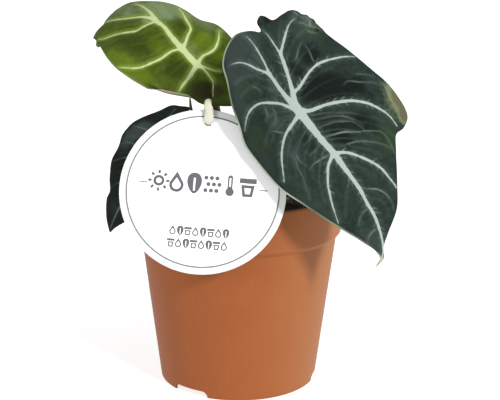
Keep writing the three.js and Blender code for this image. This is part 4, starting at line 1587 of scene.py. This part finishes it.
@dataclass(frozen=True)
class Sheath:
    """A papery sheath: a narrow rolled spear, or a short open trough, that ends in a point."""

    name: str
    node: str
    radius: float
    points: tuple[Point3, ...]
    fullness: float
    belly_reach: float = 1.15
    point: int = 9
    blunt: float = 0.02
    lumps: Point2 = (0.08, 2.5)
    inner_turn: float = 0.82
    lap: float = 0.28
    lap_start: float = 0.15
    pleats: Point2 = (0.05, 7)
    sides: int = 20
    step: float = 0.6

    def build(self, finish: bpy.types.Material) -> None:
        """Makes the sheath.

        Args:
            finish: The dry skin's material.
        """
        path = smooth_path([(x, y, ROOT_Z + z) for x, y, z in self.points], self.step)
        run = np.linspace(0, 1, len(path))
        swell = 1 + self.fullness * np.sin(math.pi * np.clip(run * self.belly_reach, 0, 1)) ** 1.5
        radius = self.radius * swell * np.sqrt(np.clip(1 + self.blunt - run**self.point, self.blunt, 1))
        lump, lump_size = self.lumps
        radius *= 1 + lump * lattice_noise(path, lump_size, 8)
        angle = angles(self.sides)
        lapped = (angle / FULL_TURN + self.lap_start) % 1
        pleat, pleat_count = self.pleats
        rolled_up = self.inner_turn + self.lap * lapped + pleat * np.cos(pleat_count * angle)
        points = carried(path, round_sections(radius[:, None] * rolled_up))
        faces = tube_faces(len(path), self.sides)
        settle(make_piece(self.name, points, faces, [finish], sharp_deg=50), "sheath", self.node)


STALKS = (
    Stalk(
        "front_stalk", "front_leaf_stalk", 2.3,
        ((3.6, -3.2, 0), (3.6, -3.2, 5), (10, -20, 29), (22, -42, 49)), FRONT_LEAF.sheet,
    ),
    Stalk(
        "young_stalk", "young_leaf_stalk", 2.0,
        ((-4.4, -1.6, 0), (-4.4, -1.6, 6), (-10.4, -6.6, 38), (-14, -8.8, 54)), YOUNG_LEAF.sheet,
    ),
    Stalk(
        "rear_stalk", "rear_leaf_stalk", 1.9,
        ((1.2, 5, 0), (1.2, 5, 5), (-11, 4, 32), (-29, -9, 41)), REAR_LEAF.sheet,
    ),
)
SHEATHS = (
    Sheath(
        "tall_sheath_spear", "tall_sheath", 1.1,
        ((-1.6, -5.9, 0), (-1.6, -5.9, 4), (-18, -15, 36), (-26, -18.4, 50), (-27, -20.2, 58)), 0.1,
    ),
    Sheath(
        "short_sheath_spear", "short_sheath", 1.3,
        ((5.2, 2.6, 0), (5.2, 2.6, 4), (9.6, 6.6, 19)), 0.5,
    ),
)


# ---------------------------------------------------------------- pot, mix and crown


@dataclass(frozen=True)
class NurseryPot:
    """The pot: a lathed shell with a collar, drain arches in its skirt and holes in its floor."""

    height: float = 112.0
    rim_radius: float = 60.0
    rim_wall: float = 2.0
    wall: float = 1.4
    collar_low: Point2 = (58.9, 89.0)
    body_top: Point2 = (56.15, 86.3)
    foot_radius: float = 45.4
    floor_rise: float = 4.5
    floor_thickness: float = 1.5
    pad_radius: float = 16.0
    pad_slope: float = 2.0
    sides: int = 192
    arch_count: int = 3
    arch_first: float = -126.3
    arch_width: float = 23.0
    arch_height: float = 3.8
    arch_corner: float = 3.2
    drain_count: int = 8
    drain_radius: float = 4.0
    drain_ring: float = 30.0
    drain_sides: int = 32
    plug_reach: float = 5.0

    def shell(self) -> Solid:
        """The uncut shell: up the outside, over the rim, down the inside and along the floor."""
        floor_top = self.floor_rise + self.floor_thickness
        inner_foot = self.foot_radius - self.wall
        slope = self.pad_radius + self.pad_slope
        collar, ledge = self.collar_low
        body, neck = self.body_top
        first, *section, last = rounded(
            (
                (0, 0, 0),
                (self.pad_radius, 0, 0.6),
                (slope, self.floor_rise, 0.8),
                (inner_foot, self.floor_rise, 0.8),
                (inner_foot, 0, 0.4),
                (self.foot_radius, 0, 1.2),
                (body, neck - 1.4, 0.5),
                (body, neck, 0.4),
                (collar, ledge, 0.8),
                (self.rim_radius, self.height - 0.8, 0.8),
                (self.rim_radius - 0.5, self.height, 0.8),
                (self.rim_radius - self.rim_wall, self.height, 0.7),
                (collar - self.wall, ledge + 1.5, 1.2),
                (body + 0.25 - self.wall, neck + 0.8, 1.2),
                (inner_foot + 0.6, floor_top, 2.0),
                (slope, floor_top, 1.0),
                (self.pad_radius, self.floor_thickness, 1.0),
                (0, self.floor_thickness, 0),
            )
        )
        return poled([level_ring(r, z, self.sides) for r, z in section], first[1], last[1])

    def arch(self) -> Loop:
        """One arch's outline, from below the skirt to its round shoulders."""
        half = self.arch_width / 2
        spring = self.arch_height - self.arch_corner
        left = [(-half, -self.plug_reach), (-half, spring)]
        for swing in np.linspace(0, math.pi / 2, 5)[1:]:
            x = -half + self.arch_corner * (1 - math.cos(swing))
            left.append((x, spring + self.arch_corner * math.sin(swing)))
        return left + [(-x, z) for x, z in reversed(left)]

    def plugs(self) -> Solid:
        """What the arches and the drain holes take away, as one mesh of separate plugs."""
        plugs = []
        arch = self.arch()
        reach = (-self.plug_reach, self.plug_reach)
        for spin in angles(self.arch_count) + math.radians(self.arch_first):
            c, s = math.cos(spin), math.sin(spin)
            outs = [self.foot_radius + r for r in reach]
            ends = [(c * out - s * x, s * out + c * x, z) for out in outs for x, z in arch]
            plugs.append((np.array(ends), tube_faces(2, len(arch))))
        for middle in angles(self.drain_count) + math.pi / self.drain_count:
            across, out = self.drain_ring * math.cos(middle), self.drain_ring * math.sin(middle)
            centre = (across, out, self.floor_rise)
            ends = [level_ring(self.drain_radius, r, self.drain_sides) + centre for r in reach]
            plugs.append((np.vstack(ends), tube_faces(2, self.drain_sides)))
        return joined(plugs)

    def build(self, finish: bpy.types.Material) -> None:
        """Makes the pot, by cutting the plugs out of the shell.

        Args:
            finish: The plastic's material.
        """
        made = []
        for label, (points, faces) in (("pot_shell", self.shell()), ("pot_plugs", self.plugs())):
            mesh = bpy.data.meshes.new(label)
            mesh.from_pydata(points.tolist(), [], faces)
            work = bmesh.new()
            work.from_mesh(mesh)
            bmesh.ops.recalc_face_normals(work, faces=work.faces)
            work.to_mesh(mesh)
            work.free()
            made.append(link_object(label, mesh))
        cut = made[0].modifiers.new("cut", "BOOLEAN")
        cut.operation = "DIFFERENCE"
        cut.solver = "EXACT"
        cut.object = made[1]
        bpy.context.view_layer.update()
        evaluated = made[0].evaluated_get(bpy.context.evaluated_depsgraph_get())
        result = bpy.data.meshes.new_from_object(evaluated)
        points = np.array([v.co[:] for v in result.vertices])
        faces = [list(p.vertices) for p in result.polygons]
        for thing in made:
            bpy.data.objects.remove(thing)
        settle(make_piece("nursery_pot", points, faces, [finish], sharp_deg=28), "pot_plastic", "pot")


@dataclass(frozen=True)
class PottingMix:
    """Peat mix with bark crumbs, perlite and root fibres on its surface."""

    wall_z: float = 103.5
    crown_z: float = 105.5
    radius: float = 57.2
    side: tuple[Point2, ...] = ((57.1, 91.0), (54.6, 87.5), (44.0, 6.3))
    pad: tuple[Point2, ...] = ((17.7, 6.3), (15.7, 1.8))
    knoll: Point2 = (14.0, 50.0)
    lumps: tuple[Point2, ...] = ((0.9, 9.0), (0.55, 3.6), (0.35, 1.5))
    rings: int = 76
    sectors: int = 200
    crumbs: int = 330
    grains: int = 26
    fibres: int = 70
    fibre_sides: int = 6
    fibre_inset: float = 12.0
    fibre_strides: int = 5
    fibre_stride: Point2 = (1.2, 2.6)
    fibre_bend: float = 0.25
    fibre_lift: Point2 = (0.25, 0.5)
    fibre_radius: Point2 = (0.14, 0.3)
    lump_corners: int = 13
    lump_reach: Point2 = (0.75, 1.0)
    lump_stretch: Point2 = (1.0, 1.9)
    lump_tilt: float = 0.35
    lump_rise: Point2 = (-0.1, 0.45)
    bare_radius: float = 10.5
    seed: int = 4

    def height(self, places: Array) -> Array:
        """Height of the surface at places (x, y)."""
        r = np.hypot(places[:, 0], places[:, 1])
        base = self.crown_z + (self.wall_z - self.crown_z) * ramp(*self.knoll, r)
        uneven = sum(
            high * lattice_noise(places, size, self.seed + i)
            for i, (high, size) in enumerate(self.lumps)
        )
        return base + uneven * ramp(self.radius, self.radius - 4, r) * 0.9

    def body(self, finish: bpy.types.Material) -> None:
        """Makes the mix itself: its uneven top, and the side and bottom that the pot gives it.

        Args:
            finish: The peat's material.
        """
        rings = [level_ring(r, z, self.sectors) for r, z in (*self.pad[::-1], *self.side[::-1])]
        for r in self.radius * np.linspace(1, 1 / self.rings, self.rings):
            ring = level_ring(r, 0, self.sectors)
            ring[:, 2] = self.height(ring[:, :2])
            rings.append(ring)
        points, faces = poled(rings, self.pad[-1][1], self.height(np.zeros((1, 2)))[0])
        piece = make_piece("potting_mix_body", points, faces, [finish], sharp_deg=60)
        settle(piece, "potting_mix", "potting_mix")

    def scatter(self, name: str, count: int, sizes: Point2, flat: float, finish: Finish, seed: int) -> None:
        """Strews small faceted lumps over the surface, as one mesh.

        Args:
            name: The object's name.
            count: How many lumps.
            sizes: Their least and greatest radius.
            flat: Height over width.
            finish: What they are made of.
            seed: Which scatter.
        """
        rng = np.random.default_rng(seed)
        lumps = []
        for _ in range(count):
            work = bmesh.new()
            for spot in rng.normal(size=(self.lump_corners, 3)):
                work.verts.new(spot / np.linalg.norm(spot) * rng.uniform(*self.lump_reach))
            hull = bmesh.ops.convex_hull(work, input=work.verts)
            loose = [v for v in hull["geom_interior"] if isinstance(v, bmesh.types.BMVert)]
            bmesh.ops.delete(work, geom=loose, context="VERTS")
            work.verts.index_update()
            lump = np.array([v.co[:] for v in work.verts])
            faces = [[v.index for v in f.verts] for f in work.faces]
            work.free()
            size = rng.uniform(*sizes)
            stretch = np.array([size * rng.uniform(*self.lump_stretch), size, size * flat])
            turn = np.array(Matrix.Rotation(rng.uniform(0, 6.3), 3, "Z"))
            tilt = np.array(Matrix.Rotation(rng.normal(0, self.lump_tilt), 3, "X"))
            r = 0.0
            while not self.bare_radius < r < self.radius - 0.8 - stretch[0]:
                spot = rng.uniform(-self.radius, self.radius, size=(1, 2))
                r = float(np.hypot(*spot[0]))
            height = self.height(spot) + size * flat * rng.uniform(*self.lump_rise)
            lumps.append(((lump * stretch) @ tilt.T @ turn.T + [*spot[0], *height], faces))
        piece = make_piece(name, *joined(lumps), [finish.material()], sharp_deg=35)
        settle(piece, "potting_mix")

    def threads(self, finish: bpy.types.Material) -> None:
        """Lays thin root and coir fibres over the surface, as one mesh.

        Args:
            finish: The fibres' material.
        """
        rng = np.random.default_rng(self.seed + 9)
        fibres = []
        for _ in range(self.fibres):
            r = rng.uniform(self.fibre_inset, self.radius - self.fibre_inset)
            a = rng.uniform(0, FULL_TURN)
            knots = [np.array([r * math.cos(a), r * math.sin(a)])]
            heading = rng.uniform(0, FULL_TURN)
            bend = rng.normal(0, self.fibre_bend)
            for _ in range(self.fibre_strides):
                heading += bend + rng.normal(0, self.fibre_bend)
                stride = rng.uniform(*self.fibre_stride)
                knots.append(knots[-1] + stride * np.array([math.cos(heading), math.sin(heading)]))
            line = smooth_path(knots, 0.8)
            low, arch = self.fibre_lift
            height = self.height(line) + low + arch * np.sin(np.linspace(0, math.pi, len(line)))
            radius = rng.uniform(*self.fibre_radius) * np.linspace(1, 0.5, len(line))
            points = carried(
                np.column_stack([line, height]), round_sections(np.tile(radius[:, None], self.fibre_sides))
            )
            fibres.append((points, tube_faces(len(line), self.fibre_sides)))
        settle(make_piece("root_fibres", *joined(fibres), [finish], sharp_deg=50), "potting_mix")

    def build(self) -> None:
        """Makes the mix and what lies on it."""
        self.body(PEAT.material())
        self.scatter("bark_crumbs", self.crumbs, (0.7, 2.3), 0.5, BARK, self.seed + 5)
        self.scatter("perlite_grains", self.grains, (0.6, 1.3), 0.8, PERLITE, self.seed + 6)
        self.threads(DRY_SHEATH.material())


@dataclass(frozen=True)
class Crown:
    """The short stem: a ringed knob that the stalks rise from."""

    foot_z: float = 90.0
    top_z: float = 110.6
    radius: float = 8.4
    shoulder: Point2 = (0.86, 1.06)
    waist: float = 0.14
    scars: Point2 = (0.22, 3.2)
    lumps: Point2 = (0.05, 3.0)
    lobes: Point3 = (0.03, 3, 0.6)
    sides: int = 72
    rings: int = 60

    def build(self, finish: bpy.types.Material) -> None:
        """Makes the crown.

        Args:
            finish: Its skin's material.
        """
        share = np.linspace(0, 1, self.rings)
        z = self.foot_z + (self.top_z - self.foot_z) * share
        radius = self.radius * np.sqrt(np.clip(1 - ramp(*self.shoulder, share) ** 1.5, 0.02, 1))
        radius *= 1 - self.waist + self.waist * ramp(0, 0.5, share)
        scar, scar_pace = self.scars
        radius += scar * np.sin(z * scar_pace)
        lump, lump_size = self.lumps
        lobe, lobe_count, lobe_turn = self.lobes
        lobed = lobe * np.cos(lobe_count * angles(self.sides) + lobe_turn)
        rings = []
        for r, height in zip(radius, z):
            ring = level_ring(r, height, self.sides)
            swell = 1 + lump * lattice_noise(ring, lump_size, 2) + lobed
            ring[:, :2] *= swell[:, None]
            rings.append(ring)
        faces = tube_faces(self.rings, self.sides)
        settle(make_piece("crown_knob", np.vstack(rings), faces, [finish], sharp_deg=60), "crown", "crown")


# ---------------------------------------------------------------- card and loop


def circle(x: float, y: float, radius: float, steps: int) -> Loop:
    """Points round a circle."""
    return [(x + radius * math.cos(t), y + radius * math.sin(t)) for t in angles(steps).tolist()]


def bow(y: float, radius: float, start: float, end: float, steps: int) -> Loop:
    """Points along part of a circle about (0, y), from one share of a half turn to another."""
    turns = [math.pi * (start + (end - start) * i / steps) for i in range(steps + 1)]
    return [(radius * math.cos(t), y + radius * math.sin(t)) for t in turns]


def box(x0: float, y0: float, x1: float, y1: float) -> Loop:
    """The corners of an upright rectangle."""
    return [(x0, y0), (x1, y0), (x1, y1), (x0, y1)]


def holds(loop: Loop, place: Array) -> bool:
    """Whether a place lies inside a loop."""
    inside = False
    for (ax, ay), (bx, by) in zip(loop, loop[1:] + loop[:1]):
        if (ay > place[1]) != (by > place[1]):
            if place[0] < (bx - ax) * (place[1] - ay) / (by - ay) + ax:
                inside = not inside
    return inside


class Care(Enum):
    """The plain signs of plant care."""

    SUN = "sun"
    DROP = "drop"
    LEAF = "leaf"
    MIST = "mist"
    WARMTH = "warmth"
    POT = "pot"


@dataclass(frozen=True)
class CareSign:
    """One plain plant-care sign on the card, drawn as loops of which every second is a hole."""

    kind: Care
    x: float
    y: float
    size: float

    def loops(self) -> list[Loop]:
        """The sign's loops, in the card's millimetres."""
        shape = getattr(self, self.kind.value)()
        return [[(self.x + self.size * a, self.y + self.size * b) for a, b in loop] for loop in shape]

    @staticmethod
    def sun() -> list[Loop]:
        """A ring with eight rays."""
        loops = [circle(0, 0, 0.26, 32), circle(0, 0, 0.13, 32)]
        for t in angles(8):
            c, s = math.cos(t), math.sin(t)
            loops.append([(a * c - b * s, a * s + b * c) for a, b in box(0.34, -0.06, 0.5, 0.06)])
        return loops

    @staticmethod
    def drop() -> list[Loop]:
        """A water drop in outline."""
        sizes = ((0.5, 0.34), (0.2, 0.2))
        return [[(0.0, peak), *bow(-0.15, radius, 0.12, -1.12, 24)] for peak, radius in sizes]

    @staticmethod
    def leaf() -> list[Loop]:
        """An upright leaf with a slit for its midrib."""
        edge = [(0.34 * math.sin(t) * (1 - 0.25 * math.cos(t)), -0.5 * math.cos(t)) for t in angles(28)]
        return [edge, box(-0.045, -0.36, 0.045, 0.25)]

    @staticmethod
    def pot() -> list[Loop]:
        """A flower pot in outline, with its band."""
        body = [(-0.32, 0.08), (-0.23, -0.48), (0.23, -0.48), (0.32, 0.08)]
        hollow = [(-0.16, -0.06), (-0.11, -0.34), (0.11, -0.34), (0.16, -0.06)]
        return [box(-0.4, 0.16, 0.4, 0.4), body, hollow]

    @staticmethod
    def mist() -> list[Loop]:
        """Three rows of fine spray."""
        return [
            circle(-0.3 + 0.26 * column + 0.12 * (row % 2), 0.3 - 0.3 * row, 0.1, 16)
            for row, column in itertools.product(range(3), repeat=2)
        ]

    @staticmethod
    def warmth() -> list[Loop]:
        """A thermometer: a stem in outline above a full bulb."""
        edge = bow(-0.3, 0.2, 0.7, 2.3, 20) + bow(0.38, 0.12, 0, 1, 8)
        return [edge, box(-0.04, -0.05, 0.04, 0.36)]


@dataclass(frozen=True)
class SignRow:
    """A row of care signs, of some kinds in turn, set out from its first one's middle."""

    kinds: tuple[Care, ...]
    count: int
    x: float
    y: float
    pitch: float
    size: float

    def signs(self) -> list[CareSign]:
        """The row's signs."""
        kinds = itertools.islice(itertools.cycle(self.kinds), self.count)
        return [CareSign(kind, self.x + self.pitch * i, self.y, self.size) for i, kind in enumerate(kinds)]


@dataclass(frozen=True)
class CareCard:
    """The round card: coated stock with a printed ring and plain signs, leaning on the rim."""

    radius: float = 44.0
    thickness: float = 0.6
    lean: float = 23.0
    spin: float = 4.0
    centre_x: float = -18.6
    above_rim: float = 12.8
    rim: Point2 = (60.0, 111.0)
    rim_gap: float = 0.3
    bevel: float = 0.12
    hole_offset: float = 37.6
    hole_radius: float = 2.6
    ring_radius: float = 40.2
    ring_width: float = 0.8
    dash: tuple[float, float, float, float] = (29.6, 2.4, 34.0, 3.0)
    rows: tuple[SignRow, ...] = (
        SignRow(tuple(Care), 6, -23.5, 4.0, 9.4, 11.2),
        SignRow((Care.DROP, Care.LEAF, Care.POT), 8, -14.0, -21.6, 4.0, 5.0),
        SignRow((Care.POT, Care.DROP, Care.LEAF), 8, -14.5, -28.2, 4.0, 5.0),
    )
    edge_steps: int = 180
    hole_steps: int = 40

    def frame(self) -> tuple[Array, Array, Array, Array]:
        """The card's normal, up, right and middle."""
        lean = math.radians(self.lean)
        spin = math.radians(self.spin)
        normal = np.array([0, -math.cos(lean), math.sin(lean)])
        slope = np.array([0, math.sin(lean), math.cos(lean)])
        level = np.array([1.0, 0, 0])
        up = slope * math.cos(spin) + level * math.sin(spin)
        right = level * math.cos(spin) - slope * math.sin(spin)
        middle = np.array([0, -self.rim[0], self.rim[1]])
        middle = middle + normal * (self.rim_gap + self.thickness / 2) + slope * self.above_rim
        middle[0] = self.centre_x
        return normal, up, right, middle

    def marks(self) -> list[tuple[int, list[Loop]]]:
        """The print: a finish number and loops for each mark."""
        half = self.ring_width / 2
        ring = [circle(0, 0, self.ring_radius + out, self.edge_steps) for out in (half, -half)]
        x0, y0, x1, y1 = self.dash
        pale = (ring, [box(-x1, y0, -x0, y1)], [box(x0, y0, x1, y1)])
        grey = (sign.loops() for row in self.rows for sign in row.signs())
        return [(3, shape) for shape in pale] + [(2, shape) for shape in grey]

    def front(self) -> tuple[Array, Faces, list[int]]:
        """The printed face as flat triangles.

        Returns:
            Flat places, triangles, and the finish of each.
        """
        edge = self.radius - self.bevel
        marks = self.marks()
        hole = circle(0, self.hole_offset, self.hole_radius + 0.1, self.hole_steps)
        loops = [circle(0, 0, edge, self.edge_steps), hole]
        loops += [loop for _, shape in marks for loop in shape]
        places = [Vector(p) for loop in loops for p in loop]
        edges = []
        start = 0
        for loop in loops:
            edges += [(start + i, start + (i + 1) % len(loop)) for i in range(len(loop))]
            start += len(loop)
        made = geometry.delaunay_2d_cdt(places, edges, [], 0, 1e-6)
        flat = np.array([p[:] for p in made[0]])
        faces = []
        finishes = []
        for face in made[2]:
            middle = flat[list(face)].mean(axis=0)
            to_hole = math.hypot(middle[0], middle[1] - self.hole_offset)
            if math.hypot(*middle) > edge or to_hole <= self.hole_radius + 0.05:
                continue
            faces.append(list(face))
            finish = 0 if math.hypot(*middle) < self.ring_radius else 1
            for number, shape in marks:
                if sum(holds(loop, middle) for loop in shape) % 2:
                    finish = number
            finishes.append(finish)
        return flat, faces, finishes

    def build(self) -> None:
        """Makes the card: its printed face, its plain back, and the walls of its edge and hole."""
        flat, front, finishes = self.front()
        half = self.thickness / 2
        count = len(flat)
        points = [np.column_stack([flat, np.full(count, z)]) for z in (half, -half)]
        faces = front + [[v + count for v in face[::-1]] for face in front]
        offset = 2 * count
        for first, steps, y, radius in (
            (0, self.edge_steps, 0.0, self.radius),
            (self.edge_steps, self.hole_steps, self.hole_offset, self.hole_radius),
        ):
            ring = np.array(circle(0.0, y, radius, steps))
            for z in (half - self.bevel, -half + self.bevel):
                points.append(np.column_stack([ring, np.full(steps, z)]))
            levels = (first, offset, offset + steps, first + count)
            for i in range(steps):
                j = (i + 1) % steps
                faces += [[a + i, a + j, b + j, b + i] for a, b in zip(levels, levels[1:])]
            offset += 2 * steps
        finishes += [1] * (len(faces) - len(front))
        local = np.vstack(points)
        normal, up, right, middle = self.frame()
        world = middle + local[:, :1] * right + local[:, 1:2] * up + local[:, 2:] * normal
        stock = [f.material() for f in (COATED_CARD, CARD_BORDER, GREY_INK, PALE_INK)]
        settle(make_piece("round_card", world, faces, stock, finishes, sharp_deg=25), "card", "care_card")


@dataclass(frozen=True)
class CottonLoop:
    """A closed strap of twisted cotton through the card's hole and round the young stalk."""

    card: CareCard
    width: float = 1.5
    depth: float = 1.0
    widening: tuple[Point2, ...] = ((0, 1.2), (2, 1.3), (5, 1.0), (13, 0.4), (22, 0.0))
    thickening: float = 0.15
    plies: int = 3
    turns: int = 16
    ply_depth: float = 0.14
    fuzz: Point2 = (0.05, 0.7)
    sides: int = 36

    def path(self) -> Array:
        """The loop's closed run."""
        normal, up, _, middle = self.card.frame()
        hole = middle + up * self.card.hole_offset
        from_hole = ((-0.7, 0), (1.2, 2.2), (5, 2.4), (-1.6, -5))
        *over_front, behind = (hole + up * rise + normal * out for rise, out in from_hole)
        knots = [
            *over_front, (-16.3, -41.4, 166.4), (-16.4, -38.4, 168.2),
            (-16.7, -33.6, 166.2), (-17.4, -22, 161.4), (-17.9, -8, 159.4), (-12.4, -2.4, 156),
            (-7, -7.6, 152.4), (-10.6, -22, 151.4), behind,
        ]
        return smooth_path(knots, 0.35, closed=True)

    def build(self, finish: bpy.types.Material) -> None:
        """Makes the loop: wide where it lies over the card, with twisted plies.

        Args:
            finish: The cotton's material.
        """
        path = self.path()
        count = len(path)
        run = np.arange(count) / count
        ahead = run * np.linalg.norm(np.roll(path, -1, axis=0) - path, axis=1).sum()
        front = ramp(-2, 1.5, ahead) * ramp(22, 12, ahead)
        wide = self.width + front * np.interp(ahead, *zip(*self.widening))
        angle = angles(self.sides)
        ply = np.abs(np.cos(self.plies / 2 * (angle[None] - FULL_TURN * self.turns * run[:, None])))
        place = np.repeat(path, self.sides, axis=0)
        place += np.tile(level_ring(1, 0, self.sides), (count, 1))
        fuzz, fuzz_size = self.fuzz
        hairs = lattice_noise(place, fuzz_size, 3).reshape(count, self.sides)
        sections = round_sections(1 - self.ply_depth + self.ply_depth * ply**0.6 + fuzz * hairs)
        sections[..., 0] *= wide[:, None]
        sections[..., 1] *= self.depth * (1 + self.thickening * front[:, None])
        points = carried(path, sections, closed=True)
        faces = tube_faces(count, self.sides, closed=True)
        settle(make_piece("cotton_loop", points, faces, [finish], sharp_deg=70), "cotton", "card_loop")


# ---------------------------------------------------------------- studio


@dataclass(frozen=True)
class Studio:
    """A plain pale floor, soft light and the camera."""

    eye: Point3 = (6.3, -658.0, 268.0)
    pitch: float = 13.94
    roll: float = 0.45
    lens_mm: float = 84.8
    sensor_mm: float = 36.0
    floor_size: float = 24.0
    lamps: tuple[tuple[str, Point3, float, float], ...] = (
        ("key", (0.57, -0.68, 0.48), 3.15, 10.0),
        ("side", (1.0, -0.1, 0.25), 0.42, 45.0),
        ("fill", (-0.7, -0.65, 0.33), 1.12, 25.0),
    )
    glow: float = 0.35

    def camera(self) -> None:
        """Makes the camera, looking along +Y and a little down."""
        pitch = math.radians(self.pitch)
        roll = math.radians(self.roll)
        ahead = Vector((0, math.cos(pitch), -math.sin(pitch)))
        over = Vector((0, math.sin(pitch), math.cos(pitch)))
        level = Vector((1, 0, 0))
        right = level * math.cos(roll) + over * math.sin(roll)
        up = over * math.cos(roll) - level * math.sin(roll)
        data = bpy.data.cameras.new("camera")
        data.lens = self.lens_mm
        data.sensor_width = self.sensor_mm
        data.clip_end = 60
        camera = link_object("camera", data)
        turned = Matrix((right, up, -ahead)).transposed().to_4x4()
        camera.matrix_world = Matrix.Translation(Vector(self.eye) * MM) @ turned
        bpy.context.scene.camera = camera

    def floor(self) -> None:
        """Makes the floor."""
        half = self.floor_size / 2
        corners = [(x, y, 0) for x, y in box(-half, -half, half, half)]
        mesh = bpy.data.meshes.new("floor")
        mesh.from_pydata(corners, [], [[0, 1, 2, 3]])
        mesh.materials.append(STUDIO_FLOOR.material())
        floor = link_object("floor", mesh)

    def light(self) -> None:
        """Makes the key lamp, low at the right front, two broad ones and the room's glow."""
        for name, place, strength, spread in self.lamps:
            data = bpy.data.lights.new(name, "SUN")
            data.energy = strength
            data.angle = math.radians(spread)
            lamp = link_object(name, data)
            lamp.matrix_world = (-Vector(place)).to_track_quat("-Z", "Y").to_matrix().to_4x4()
        world = bpy.data.worlds.new("studio_glow")
        world.use_nodes = True
        background = world.node_tree.nodes["Background"]
        background.inputs["Color"].default_value = (1.0, 1.0, 1.0, 1.0)
        background.inputs["Strength"].default_value = self.glow
        bpy.context.scene.world = world
        bpy.context.scene.view_settings.view_transform = "Standard"


def main() -> None:
    """Builds the plant in its pot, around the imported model."""
    logging.basicConfig(level=logging.INFO, format="%(message)s")
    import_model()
    studio = Studio()
    studio.camera()
    studio.floor()
    studio.light()
    NurseryPot().build(MOULDED_POT.material())
    PottingMix().build()
    Crown().build(CROWN_SKIN.material())
    for blade in (FRONT_LEAF, YOUNG_LEAF, REAR_LEAF):
        blade.build()
    skin = STALK_SKIN.material()
    for stalk in STALKS:
        stalk.build(skin)
    dry = DRY_SHEATH.material()
    for sheath in SHEATHS:
        sheath.build(dry)
    card = CareCard()
    card.build()
    CottonLoop(card).build(SPUN_COTTON.material())


if __name__ == "__main__":
    main()
